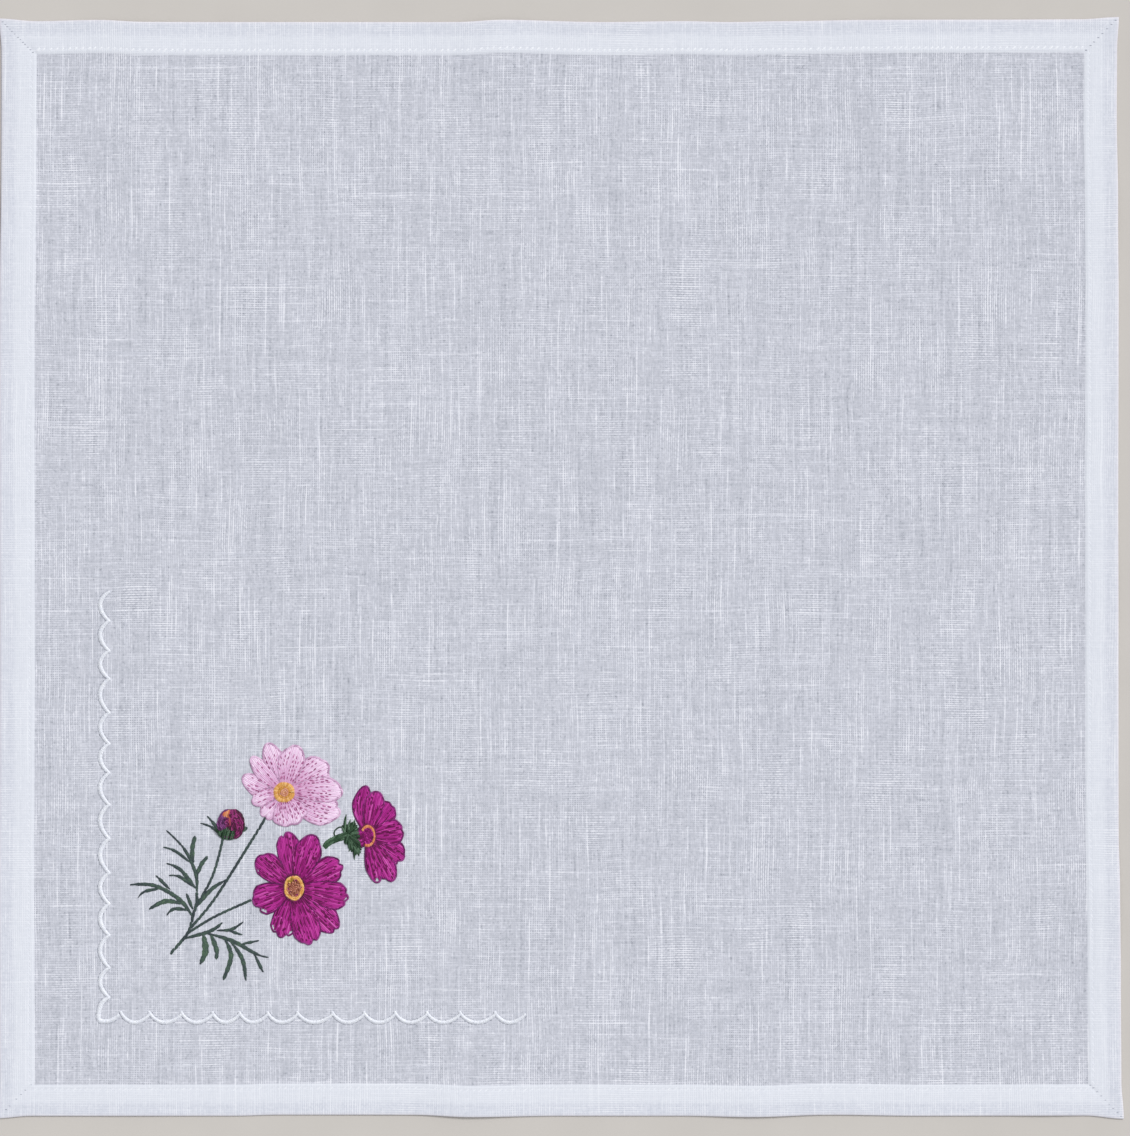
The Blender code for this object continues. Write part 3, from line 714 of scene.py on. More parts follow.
def hem_stitches(threads, chance):
    """Slanted hemming stitches round the hem's inner edge, with painted light: lightest on the lit top side.
    """
    inset = {side: HEM_STITCH_LINE * share for side, share in HEM_SHARES.items()}
    left, right = inset["left"] - CLOTH_WIDTH / 2, CLOTH_WIDTH / 2 - inset["right"]
    bottom, top = inset["bottom"] - CLOTH_LENGTH / 2, CLOTH_LENGTH / 2 - inset["top"]
    turns = [(left, top), (right, top), (right, bottom), (left, bottom)]
    on, out = HEM_STITCH_SLANT
    # Painted light: each side's stitches get their own tone, lightest on the top side
    for start, end, rise, tone in zip(turns, turns[1:] + turns[:1], HEM_STITCH_RISES, HEM_STITCH_PAINTED_LIGHT_TONES):
        length = math.dist(start, end)
        along_x, along_y = (end[0] - start[0]) / length, (end[1] - start[1]) / length
        lean_x, lean_y = along_x * on - along_y * out, along_y * on + along_x * out
        count = round(length / HEM_STITCH_PITCH)
        for step in range(1, count):
            x, y = mid_point(start, end, (step + chance.uniform(-0.12, 0.12)) / count)
            reach = HEM_STITCH_LENGTH / 2 * chance.uniform(*UNEVEN)
            steps = [reach * (2.0 * part - 1.0) for part in shares(5)]
            path = [on_cloth(from_square(x + lean_x * place, y + lean_y * place)) for place in steps]
            threads.stitch(path, HEM_STITCH_HALF_WIDTH, rise, tone + chance.uniform(-0.12, 0.12), sink=0.04)


def mitre_stitches(threads, chance):
    """The small dark stitches along each mitre, closest at the top left corner.
    Their dark grey is painted shade of the dips along the seam.
    """
    for across, up, count in MITRE_STITCHES:
        for step in range(count):
            place = 0.9 + (HEM_WIDTH - 1.6) * (step + chance.uniform(-0.2, 0.2)) / (count - 1)
            x, y = across * (CLOTH_WIDTH / 2 - place), up * (CLOTH_LENGTH / 2 - place)
            path = []
            for share in shares(5):
                part = share - 0.5
                point = from_square(x + MITRE_STITCH_LENGTH * part, y - across * up * 0.1 * part)
                path.append(on_cloth(point, -0.05))
            threads.stitch(path, 0.16, 0.07, chance.uniform(0.4, 1.0))


def arm_scallops(start, widths, downwards):
    """The scallops of one arm, each a bow that swings out fast and comes back slowly."""
    x, y = start
    scallops = []
    for width in widths:
        chain = []
        for share in shares(SCALLOP_STEPS + 1):
            bow = SCALLOP_DEPTH * max(0.0, math.sin(math.pi * share ** 0.88)) ** 0.8
            slant = LEVEL_SCALLOP_SLANT * (1.0 - 2.0 * share)
            chain.append((x - bow, y - width * share) if downwards else (x + width * share, y - bow + slant))
        scallops.append(Line(chain))
        x, y = (x, y - width) if downwards else (x + width, y)
    return scallops


def scallop_lines():
    """Every scallop of the upright arm, the corner and the level arm, each with its half width."""
    upright = arm_scallops(UPRIGHT_ARM_TOP, UPRIGHT_ARM_WIDTHS, True)
    level = arm_scallops(LEVEL_ARM_START, LEVEL_ARM_WIDTHS, False)
    lines = [(line, UPRIGHT_ARM_HALF_WIDTH) for line in upright]
    lines.append((Line(smooth_chain(CORNER_TURN, 6)), CORNER_HALF_WIDTH))
    return lines + [(line, LEVEL_ARM_HALF_WIDTH) for line in level]


def scalloped_line(threads, chance):
    """The white line of scallops: close stitches laid across it, widest at each scallop's middle."""
    for line, half_width in scallop_lines():
        for share in shares(round(line.length / SATIN_SPACING) + 1):
            fullness = 0.72 + 0.38 * math.sin(math.pi * share)
            reach = half_width * fullness * chance.uniform(0.92, 1.08)
            path = []
            for part in (-1.0, -0.55, 0.0, 0.55, 1.0):
                place = within(line.length * share + 0.14 * part, 0.0, line.length)
                path.append(on_cloth(line.beside(place, reach * part)))
            threads.stitch(path, SATIN_HALF_WIDTH, SCALLOP_RISE, chance.uniform(0.6, 1.0))


def needle_holes(threads, chance):
    """Dark needle holes in the cloth beside the scalloped line, most of them on its outer side.
    They are painted shade, and with them a painted shadow along the cord's outer side.
    """
    for line, half_width in scallop_lines():
        for side, keep in ((-1, 0.85), (1, 0.4)):
            for step in range(round(line.length / NEEDLE_HOLE_PITCH)):
                if chance.random() > keep:
                    continue
                distance = NEEDLE_HOLE_PITCH * (step + chance.uniform(0.1, 0.5))
                aside = side * (half_width + chance.uniform(0.05, 0.2))
                places = [distance + NEEDLE_HOLE_LENGTH * part for part in shares(4)]
                path = [on_cloth(line.beside(place, aside)) for place in places]
                threads.stitch(path, NEEDLE_HOLE_HALF_WIDTH, 0.03, chance.random(), sink=0.02)


# The flower spray

def from_foot(point):
    """A point of the flower spray on the cloth."""
    return point[0] + SPRAY_FOOT[0], point[1] + SPRAY_FOOT[1]


def spray_line(points, steps=8):
    """A smooth line through points of the flower spray."""
    return Line(smooth_chain([from_foot(point) for point in points], steps))


class Petal:
    """One petal. A spot on it is a lane, from -1 to 1 across, and a share of its length from the centre."""

    def __init__(self, flower, index):
        direction, *row = flower["petals"][index]
        self.length, self.width, self.fall, self.bend, self.notches, self.gaps = row
        self.centre = from_foot(flower["centre"])
        self.rise = PETAL_OVERLAP_RISE * (index % 2)
        self.cos, self.sin = around(0.0, 0.0, 1.0, math.radians(direction))

    def spread(self, share):
        """The share of the petal's full width at a share of its length."""
        return 0.28 + 0.72 * math.sin(math.pi / 2 * within((share - 0.1) / 0.6))

    def dips(self, lane, rows):
        """How far a table of (lane, depth) rows shortens the petal at a lane, as a share of its length."""
        depth = sum(low * math.exp(-(((lane - place) / NOTCH_WIDTH) ** 2)) for place, low in rows)
        return depth / self.length

    def reach(self, lane):
        """Where a lane ends: the petal's rounded, notched tip."""
        return 1.0 - self.fall * abs(lane) ** 2.3 - self.dips(lane, self.notches)

    def filled(self, lane):
        """Where the fill of a lane ends, short of the cord where there is a gap."""
        return self.reach(lane) - self.dips(lane, self.gaps)

    def spot(self, lane, share):
        """The place on the cloth of a spot on the petal."""
        x = self.length * share
        y = self.width / 2 * lane * self.spread(share) + self.bend * math.sin(math.pi * share)
        return self.centre[0] + x * self.cos - y * self.sin, self.centre[1] + x * self.sin + y * self.cos

    def place(self, lane, share, over=0.0):
        """The place and the height of a spot on the petal's padding."""
        to_tip = (self.filled(lane) - share) * self.length
        edge = within(to_tip / 1.2) ** 0.5 * (1.0 - abs(lane) ** 4)
        pad = self.rise * (0.3 + 0.7 * edge) + PETAL_PAD_RISE * (0.35 + 0.65 * edge)
        return on_cloth(self.spot(lane, share), pad + over)

    def padding(self, threads, tone):
        """The padding, which shows between the stitches. Its edges dip into the cloth."""
        grid = []
        for column in range(15):
            lane = column / 7 - 1.0
            reach = self.filled(lane) - PETAL_BASE
            dips = [-0.30 if column in (0, 14) or step == 10 else -0.02 for step in range(11)]
            grid.append([
                self.place(lane, PETAL_BASE + reach * share, dip) for share, dip in zip(shares(11), dips)
            ])
        threads.patch(grid, tone)

    def fill(self, threads, tone_at):
        """Long and short stitches along the petal's lanes."""
        chance = threads.chance
        count = max(9, round(self.width / PETAL_LINE_SPACING))
        for number in range(count):
            lane = -0.95 + 1.9 * number / (count - 1)
            end = self.filled(lane) - 0.2 / self.length
            start = PETAL_BASE - chance.uniform(0.0, 0.5) * PETAL_STITCH_LENGTHS[0] / self.length
            while start < end - 0.5 / self.length:
                stop = min(end, start + chance.uniform(*PETAL_STITCH_LENGTHS) / self.length)
                if end - stop < 0.9 / self.length:
                    stop = end
                places = [max(PETAL_BASE * 0.7, start + (stop - start) * part) for part in shares(5)]
                if places[-1] > places[0]:
                    swayed = lane + chance.uniform(-0.02, 0.02)
                    path = [self.place(swayed, share) for share in places]
                    widths = [0.62 * self.width * self.spread(share) / count for share in places]
                    threads.stitch(path, widths, PETAL_STITCH_RISE, tone_at((start + stop) / 2, chance))
                start = stop - 0.12 / self.length

    def dashes(self, threads, lanes, extent, lengths, half_width, tones, keep):
        """Short stitches on top of the fill, in rows along the petal. Some are left out."""
        chance = threads.chance
        for lane in lanes:
            share = extent[0] + chance.uniform(0.0, 0.06)
            while share < min(extent[1], self.filled(lane) - 0.08):
                length = chance.uniform(*lengths) / self.length
                if chance.random() < keep:
                    near, lean = lane + chance.uniform(-0.05, 0.05), chance.uniform(-0.04, 0.04)
                    reach = min(share + length, self.filled(lane) - 0.03) - share
                    path = [self.place(near + lean * part, share + reach * part, 0.1) for part in shares(5)]
                    threads.stitch(path, half_width * chance.uniform(0.8, 1.2), 0.14, chance.uniform(*tones))
                share += length + chance.uniform(*DASHES_APART) / self.length

    def lanes(self, spacing, chance):
        """Lanes for rows of dashes, about evenly spaced across the petal."""
        count = max(3, round(self.width / spacing))
        return [-0.82 + 1.64 * share + chance.uniform(-0.08, 0.08) for share in shares(count)]

    def outline(self):
        """The petal's edge from its base on one side, round the tip, to its base on the other."""
        base = PETAL_BASE + 0.05
        side = [base + (self.reach(-1.0) - base) * share for share in shares(11)]
        points = [self.spot(-1.0, share) for share in side]
        for step in range(1, 40):
            lane = step / 20 - 1.0
            points.append(self.spot(lane, self.reach(lane)))
        return Line(points + [self.spot(1.0, share) for share in reversed(side)])


def petals_of(*flowers):
    """Every petal of some flowers."""
    return [Petal(flower, index) for flower in flowers for index in range(len(flower["petals"]))]


def magenta_tone(share, chance):
    """Magenta: plain in the petal's body, with darker stitches near its base."""
    return within(chance.gauss(0.66, 0.15) - 0.22 * max(0.0, 1.0 - share / 0.45))


def pink_tone(share, chance):
    """Pink: deeper near the base and nearly white at the tip."""
    return within(0.22 + 0.72 * share + chance.gauss(0.0, 0.09))


def magenta_petals(threads, chance):
    """The petals of the two magenta flowers, with dark rays from their discs and a few dark spots."""
    for petal in petals_of(SIDE_FLOWER, FRONT_FLOWER):
        petal.padding(threads, 0.2)
        petal.fill(threads, magenta_tone)
        rays = petal.lanes(1.0, chance)
        petal.dashes(threads, rays, (0.16, 0.66), (1.0, 3.4), half_width=0.17, tones=(0.0, 0.2), keep=0.8)
        spots = [chance.uniform(-0.75, 0.75) for _ in range(6)]
        petal.dashes(threads, spots, (0.56, 0.92), (0.5, 1.0), half_width=0.19, tones=(0.0, 0.15), keep=0.5)


def pink_petals(threads, _):
    """The petals of the pink flower."""
    for petal in petals_of(PINK_FLOWER):
        petal.padding(threads, 0.1)
        petal.fill(threads, pink_tone)


def rose_dashes(threads, chance):
    """The dark rose dashes on the pink petals, closest on the petals to the right.
    They are partly painted shade, where the stitches dip into the cloth.
    """
    for petal in petals_of(PINK_FLOWER):
        spacing, keep = (0.95, 0.85) if petal.cos > 0.2 else (1.25, 0.6)
        lanes = petal.lanes(spacing, chance)
        petal.dashes(threads, lanes, (0.22, 0.80), (0.45, 1.1), half_width=0.17, tones=(0.0, 1.0), keep=keep)


def petal_cords(threads, chance, flowers, half_width):
    """The cords round the petals, darkest where they run in between them."""
    def tone(share):
        return min(1.0, chance.random() * (1.2 - abs(2.0 * share - 1.0)))

    for petal in petals_of(*flowers):
        threads.stem_stitch(
            petal.outline(), half_width, rise=0.26, pitch=1.0, length=1.9, tones=tone, base=0.08 + petal.rise,
            slant=0.3,
        )


def oval_spot(flower, angle, share):
    """A point of a flower's oval disc."""
    x, y = from_foot(flower["centre"])
    wide, high = flower["disc"]
    return x + wide * share * math.cos(angle), y + high * share * math.sin(angle)


def ring_line(flower, turns, track, wobble=0.0):
    """A line round part of a disc."""
    angles = [turns[0] + (turns[1] - turns[0]) * share for share in shares(41)]
    return Line([oval_spot(flower, turn, track + wobble * math.sin(5 * turn + 9 * track)) for turn in angles])


def radial_ring(threads, flower, tracks, turns, spacing, rise, base, tones):
    """Satin stitches that point outwards round part of a disc."""
    (inner, outer), (start, end) = tracks, turns
    count = round((end - start) * sum(flower["disc"]) / 2 * outer / spacing)
    for share in shares(count + 1):
        angle = start + (end - start) * share
        spots = [oval_spot(flower, angle, inner + (outer - inner) * part) for part in shares(5)]
        path = [on_cloth(spot, base) for spot in spots]
        threads.stitch(path, spacing * 0.62, rise, threads.chance.uniform(*tones))


def disc_padding(threads, flower, rise, tone):
    """The low dome under a flower's centre."""
    grid = []
    for share in shares(7):
        over = rise * (1.0 - share ** 3) + 0.1 * (1 - share)
        grid.append([on_cloth(oval_spot(flower, FULL_TURN * turn, share), over) for turn in shares(25)])
    threads.patch(grid, tone)


def gold_centres(threads, chance):
    """The pink flower's golden disc, and the front flower's golden ring with a few green knots."""
    disc_padding(threads, PINK_FLOWER, rise=0.45, tone=0.3)
    for tracks, spacing, rise, base, tones in PINK_RINGS:
        radial_ring(threads, PINK_FLOWER, tracks, WHOLE_RING, spacing, rise, base, tones)
    for track in GOLD_TRACKS:
        ring = ring_line(FRONT_FLOWER, WHOLE_RING, track, wobble=0.04)
        threads.stem_stitch(ring, 0.31, rise=0.34, pitch=0.8, length=1.5, tones=(0.4, 1.0), base=0.42)
    for _ in range(GREEN_KNOTS):
        spot = oval_spot(FRONT_FLOWER, chance.uniform(1.6, 2.4), chance.uniform(0.55, 0.8))
        threads.knot(on_cloth(spot, 0.6), chance.uniform(0.2, 0.34), 0.3, chance.choice((0.0, 0.1, 0.8)))


def crescent(threads, _):
    """The orange crescent round the right of the side flower's disc."""
    radial_ring(threads, SIDE_FLOWER, (0.74, 1.04), CRESCENT, 0.34, rise=0.32, base=0.45, tones=(0.5, 1.0))


def disc_rims(threads, _):
    """The dark lines round the front flower's golden ring and the side flower's crescent."""
    for flower, turns in ((FRONT_FLOWER, WHOLE_RING), (SIDE_FLOWER, CRESCENT)):
        rim = ring_line(flower, turns, DISC_RIM_TRACK)
        threads.stem_stitch(
            rim, 0.19, rise=0.26, pitch=0.9, length=1.6, tones=(0.1, 0.7), base=0.40, slant=0.3,
        )


def brown_centres(threads, chance):
    """The tan spiral and the pink-brown knots inside the golden rings."""
    centre = from_foot(PINK_FLOWER["centre"])
    spiral = [around(*centre, 0.1 + 1.05 * step / 60, step / 60 * 4.6 * math.pi) for step in range(60)]
    threads.stem_stitch(
        Line(spiral), 0.21, rise=0.2, pitch=0.6, length=1.1, tones=(0.6, 1.0), base=0.55, slant=0.25,
    )
    disc_padding(threads, FRONT_FLOWER, rise=0.4, tone=0.25)
    for number in range(BROWN_KNOTS):
        share, angle = 0.76 * math.sqrt(number / BROWN_KNOTS), 2.4 * number + chance.uniform(-0.3, 0.3)
        spot = on_cloth(oval_spot(FRONT_FLOWER, angle, share), 0.5)
        threads.knot(spot, chance.uniform(0.16, 0.27), 0.26, chance.uniform(0.0, 1.0))


def side_disc(threads, chance):
    """The magenta disc inside the side flower's crescent."""
    disc_padding(threads, SIDE_FLOWER, rise=0.5, tone=0.3)
    for lane in range(11):
        angle = FULL_TURN * lane / 11
        for ring in (0.15, 0.4, 0.62):
            spots = [oval_spot(SIDE_FLOWER, angle + 0.14 * part, ring + 0.04 * part) for part in range(5)]
            threads.stitch([on_cloth(spot, 0.55) for spot in spots], 0.2, 0.16, chance.uniform(0.0, 0.8))


def frond(threads, widest, fullest, points):
    """One frond in stem stitch, fullest at one place and fine at its root and tip. Where it is wide it has
    rows beside its rib and is greener."""
    line, chance = spray_line(points), threads.chance
    phase = chance.uniform(*ANY_PHASE)

    def half_width(share):
        reach = fullest + 0.12 if share < fullest else 1.05 - fullest
        swell = math.cos(math.pi / 2 * min(1.0, abs(share - fullest) / reach)) ** 1.3
        lumps = 0.88 + 0.14 * math.sin(phase + 3.1 * share * line.length)
        lumps += 0.08 * math.sin(phase + 7.0 * share)
        return FROND_SCALE * widest * lumps * (0.40 + 0.60 * swell)

    def tone(share):
        return min(0.6, 1.2 * half_width(share) - 0.2) + chance.uniform(-0.2, 0.2)

    def row_tone(share):
        return tone(wide[0] + (wide[-1] - wide[0]) * share)

    def rib_half_width(share):
        return min(0.42, half_width(share))

    threads.stem_stitch(line, rib_half_width, rise=0.30, pitch=0.9, length=1.8, tones=tone, slant=0.4)
    wide = [step / 40 for step in range(4, 39) if half_width(step / 40) > 0.34]
    count = 1 if widest < 0.6 else 2
    for number in range(1, count + 1):
        for side in (-1, 1):
            aside = side * number / (count + 0.4)
            places = [(share * line.length, aside * (half_width(share) - 0.12)) for share in wide]
            row = Line([line.beside(*place) for place in places])
            threads.stem_stitch(row, 0.24, rise=0.26, pitch=0.8, length=1.5, tones=row_tone, slant=0.5 * side)


def stems_and_leaves(threads, _):
    """Stems and fronds in stem stitch."""
    for half_width, points in STEMS:
        threads.stem_stitch(
            spray_line(points), half_width, rise=0.32, pitch=1.5, length=2.1, tones=(0.0, 0.4), slant=0.35,
        )
    for widest, fullest, points in FRONDS:
        frond(threads, widest, fullest, points)


def calyx_stroke(threads, start, end, half_width, stray):
    """One loose stitch of the calyx, whose ends stray a little. It narrows to its tip."""
    chance = threads.chance
    start, end = strayed(chance, start, stray), strayed(chance, end, stray)
    middle = strayed(chance, mid_point(start, end, 0.5), 0.2)
    chain = smooth_chain([from_foot(point) for point in (start, middle, end)], 3)
    lift = 0.25 * chance.random()
    widths = [half_width * (1.0 - 0.7 * share ** 2) for share in shares(len(chain))]
    threads.stitch([on_cloth(point, lift) for point in chain], widths, 0.28, chance.random() ** 1.6)


def calyx(threads, chance):
    """The spiky green cup behind the side flower, its thick stem, and a loose loop above the stem."""
    stem = spray_line(SIDE_STEM)
    for side in (-0.6, 0.6, 0.0):
        places = [(share, side * SIDE_STEM_HALF_WIDTH * (0.7 + 0.5 * share)) for share in shares(31)]
        row = Line([stem.beside(stem.length * share, aside) for share, aside in places])
        threads.stem_stitch(row, 0.42, rise=0.30, pitch=1.2, length=2.4, tones=(0.3, 0.9), slant=0.4)
    edge = Line(smooth_chain(CALYX_EDGE, 6))
    for step in range(CALYX_STROKES):
        place = edge.at(edge.length * (step * 7 % CALYX_STROKES) / (CALYX_STROKES - 1))
        start = mid_point(CALYX_HEART, place, chance.uniform(0.0, 0.75))
        calyx_stroke(threads, start, place, half_width=0.40, stray=0.3)
    for start, end in CALYX_SPIKES:
        for _ in range(5):
            tip = mid_point(start, end, chance.uniform(0.65, 1.0))
            calyx_stroke(threads, start, tip, half_width=0.34, stray=0.16)
    loop = spray_line(CALYX_LOOP, 6)
    threads.stem_stitch(loop, 0.22, rise=0.26, pitch=1.2, length=2.0, tones=(0.1, 0.5), slant=0.2)


def bud_spot(across, up, over=0.0):
    """A point over the bud: across and up from -1 to 1, narrowing to its top and foot."""
    x, y = from_foot(BUD_CENTRE)
    fall = max(0.0, 1.0 - up * up * 0.97)
    across *= math.sqrt(fall)
    dome = math.sqrt(max(0.0, fall - across ** 2))
    return on_cloth((x + BUD_HALF_WIDTH * across, y + BUD_HALF_HEIGHT * up), 0.2 + 0.65 * dome + over)


def bud_rows(threads, acrosses, tones):
    """Short wavy stitches up the bud, in rows across it."""
    chance = threads.chance
    for across in acrosses:
        up = -0.95
        while up < 0.85:
            stop = min(0.96, up + chance.uniform(0.22, 0.45))
            lean, phase = chance.uniform(-0.10, 0.10), chance.uniform(*ANY_PHASE)
            path = []
            for step in range(6):
                aside = lean * (step / 5 - 0.5) + 0.05 * math.sin(phase + step)
                nearest = within(across + aside, -0.98, 0.98)
                path.append(bud_spot(nearest, up + (stop - up) * step / 5, 0.12 * chance.random()))
            threads.stitch(path, chance.uniform(0.17, 0.28), 0.18, chance.uniform(*tones))
            up = stop - 0.05


def bud_petals(threads, chance):
    """The bud's folded magenta petals, dark along its right edge."""
    grid = [[bud_spot(column / 6 - 1, (6 - row) / 6.1) for row in range(13)] for column in range(13)]
    threads.patch(grid, 0.1)
    bud_rows(threads, [-0.34 + 1.2 * share for share in shares(17)], (0.0, 1.0))
    bud_rows(threads, (0.90, 0.97), (0.0, 0.12))
    for _ in range(BUD_CURLS):
        across, up = chance.uniform(-0.3, 0.75), chance.uniform(-0.5, 0.7)
        turn = chance.uniform(*ANY_PHASE)
        curl = [bud_spot(*around(across, up, 0.13, turn + 0.8 * step), 0.22) for step in range(6)]
        threads.stitch(curl, 0.14, 0.14, chance.choice((0.0, 0.05, 0.9, 1.0)))


def bud_side(threads, _):
    """The violet petals on the bud's left side."""
    bud_rows(threads, [-0.97 + 0.6 * share for share in shares(8)], (0.0, 1.0))


def bud_streak(threads, _):
    """The orange streak at the top left of the bud, fading to rose below."""
    for across, top, bottom, tone in BUD_STREAK:
        path = [bud_spot(across, top + (bottom - top) * share, 0.18) for share in shares(7)]
        threads.stitch(path, 0.27, 0.2, tone)


def bud_cup(threads, chance):
    """The striped green cup that holds the bud."""
    foot, rim = spray_line(BUD_CUP_FOOT, 6), spray_line(BUD_CUP_RIM, 6)
    last = BUD_CUP_STITCHES - 1
    for step in range(BUD_CUP_STITCHES):
        start = foot.at(foot.length * step / last)
        end = rim.at(rim.length * (step + chance.uniform(-0.8, 0.8)) / last)
        end = mid_point(start, end, chance.uniform(0.85, 1.1))
        path = []
        for part in shares(6):
            path.append(on_cloth(mid_point(start, end, part), 0.3 + 0.75 * math.sin(math.pi / 2 * part)))
        threads.stitch(path, chance.uniform(0.2, 0.3), 0.2, chance.choice((0.0, 0.2, 0.45, 0.8)))


# The pieces of thread: name, seed, material, what builds it, and what that needs
PIECES = (
    ("slub_threads", 11, "slub_thread", slubs),
    ("hem_stitches", 23, "white_thread", hem_stitches),
    ("mitre_stitches", 29, "needle_hole", mitre_stitches),
    ("scalloped_line", 31, "white_thread", scalloped_line),
    ("needle_holes", 37, "needle_hole", needle_holes),
    ("magenta_petals", 41, "magenta_thread", magenta_petals),
    ("pink_petals", 43, "pink_thread", pink_petals),
    ("rose_dashes", 44, "rose_thread", rose_dashes),
    ("gold_centres", 53, "gold_thread", gold_centres),
    ("brown_centres", 59, "tan_thread", brown_centres),
    ("crescent", 57, "orange_thread", crescent),
    ("side_disc", 61, "magenta_thread", side_disc),
    ("disc_rims", 58, "plum_thread", disc_rims),
    ("stems_and_leaves", 67, "leaf_thread", stems_and_leaves),
    ("calyx", 71, "green_thread", calyx),
    ("bud_petals", 73, "plum_thread", bud_petals),
    ("bud_side", 77, "iris_thread", bud_side),
    ("bud_streak", 79, "orange_thread", bud_streak),
    ("bud_cup", 83, "green_thread", bud_cup),
    ("violet_outlines", 47, "violet_thread", petal_cords, (SIDE_FLOWER, FRONT_FLOWER), 0.25),
    ("mauve_outlines", 48, "mauve_thread", petal_cords, (PINK_FLOWER,), 0.30),
)


# Materials

def colour(red, green, blue):
    """A shader colour from screen values of 0 to 255."""
    def linear(value):
        value /= 255.0
        return value / 12.92 if value <= 0.04045 else ((value + 0.055) / 1.055) ** 2.4
    return linear(red), linear(green), linear(blue), 1.0


class Value:
    """A number in a material. Arithmetic with it makes maths nodes."""

    def __init__(self, shading, socket):
        self.shading, self.socket = shading, socket

    def __add__(self, other):
        return self.shading.math("ADD", self, other)

    def __sub__(self, other):
        return self.shading.math("SUBTRACT", self, other)

    def __rsub__(self, other):
        return self.shading.math("SUBTRACT", other, self)

    def __mul__(self, other):
        return self.shading.math("MULTIPLY", self, other)

    def above_zero(self):
        """The value where it is above 0, and 0 elsewhere."""
        return self.shading.math("MAXIMUM", self, 0.0)

    def wave(self, operation):
        """A wave from 0 to 1 over the value, from COSINE or SINE."""
        return self.shading.math(operation, self) * 0.5 + 0.5


class Shading:
    """Builds one material's nodes."""

    def __init__(self, name):
        self.material = bpy.data.materials.new(name)
        self.material.use_nodes = True
        self.tree = self.material.node_tree
        self.inputs = self.tree.nodes["Principled BSDF"].inputs
        self.spot = self.node("ShaderNodeTexCoord", {}).outputs["Object"]

    def fill(self, sockets, values):
        """Links some sockets, or sets them to plain values."""
        for key, value in values.items():
            value = getattr(value, "socket", value)
            if isinstance(value, bpy.types.NodeSocket):
                self.tree.links.new(value, sockets[key])
            else:
                sockets[key].default_value = value

    def node(self, kind, inputs, **settings):
        """A node with its settings and inputs."""
        made = self.tree.nodes.new(kind)
        for key, value in settings.items():
            setattr(made, key, value)
        self.fill(made.inputs, inputs)
        return made

    def math(self, operation, *values):
        """The result of a maths node."""
        made = self.node("ShaderNodeMath", dict(enumerate(values)), operation=operation)
        return Value(self, made.outputs[0])

    def vector(self, x, y, z=0.0):
        """A vector from three numbers."""
        return self.node("ShaderNodeCombineXYZ", {0: x, 1: y, 2: z}).outputs[0]

    def vector_math(self, operation, first, second):
        """The result of a vector maths node."""
        return self.node("ShaderNodeVectorMath", {0: first, 1: second}, operation=operation).outputs[0]

    def noise(self, vector, scale=None, detail=2.0, roughness=0.5):
        """Noise from 0 to 1 over a vector, which may first be scaled."""
        if scale:
            vector = self.vector_math("MULTIPLY", vector, scale)
        inputs = {"Vector": vector, "Scale": 1.0, "Detail": detail, "Roughness": roughness}
        return Value(self, self.node("ShaderNodeTexNoise", inputs).outputs["Fac"])

    def attribute(self, name):
        """A float attribute of the mesh."""
        return Value(self, self.node("ShaderNodeAttribute", {}, attribute_name=name).outputs["Fac"])

    def mix(self, share, first, second):
        """Two colours mixed."""
        return self.node("ShaderNodeMix", {"Factor": share, 6: first, 7: second}, data_type="RGBA").outputs[2]

    def ramp(self, value, stops):
        """A colour ramp over a value."""
        made = self.node("ShaderNodeValToRGB", {"Fac": value})
        ramp = made.color_ramp
        while len(ramp.elements) < len(stops):
            ramp.elements.new(0.5)
        for element, (place, *screen) in zip(ramp.elements, stops):
            element.position = place
            element.color = colour(*screen)
        return made.outputs["Color"]

    def surface(self, body, roughness, relief, sheen, sheen_roughness):
        """Sets the surface of linen or thread, with a fine bump, and gives the material."""
        inputs = {"Height": relief, "Distance": BUMP_METRES, "Strength": BUMP_STRENGTH}
        self.fill(self.inputs, {
            "Base Color": body,
            "Roughness": roughness,
            "Normal": self.node("ShaderNodeBump", inputs).outputs["Normal"],
            "Sheen Weight": sheen,
            "Sheen Roughness": sheen_roughness,
            "Specular IOR Level": SPECULAR_LEVEL,
        })
        return self.material


def thread_run(shading, place, along, pitch, seed):
    """One set of threads: their number at a place, their round tops, and how full each is along it."""
    number = place * (1.0 / pitch) + shading.noise(shading.vector(place * 0.5, seed)) * 1.5
    own = shading.math("ROUND", number) * 7.31 + seed
    fullness = []
    for stretch in (0.035, 0.30):
        run = shading.vector(own, along * stretch, stretch * 90.0)
        fullness.append(shading.noise(run, roughness=0.6))
    return number, (number * FULL_TURN).wave("COSINE"), fullness


def run_light(crown, fullness, weights):
    """How much lighter or darker each thread of a run is, most on its round top. Its rare thick places,
    where the long noise is high, are lightest."""
    long, short = fullness
    light = (long - 0.5) * weights[0] + (short - 0.5) * weights[1] + (long - 0.60).above_zero() * weights[2]
    return light * (crown * 1.4 + 0.3)


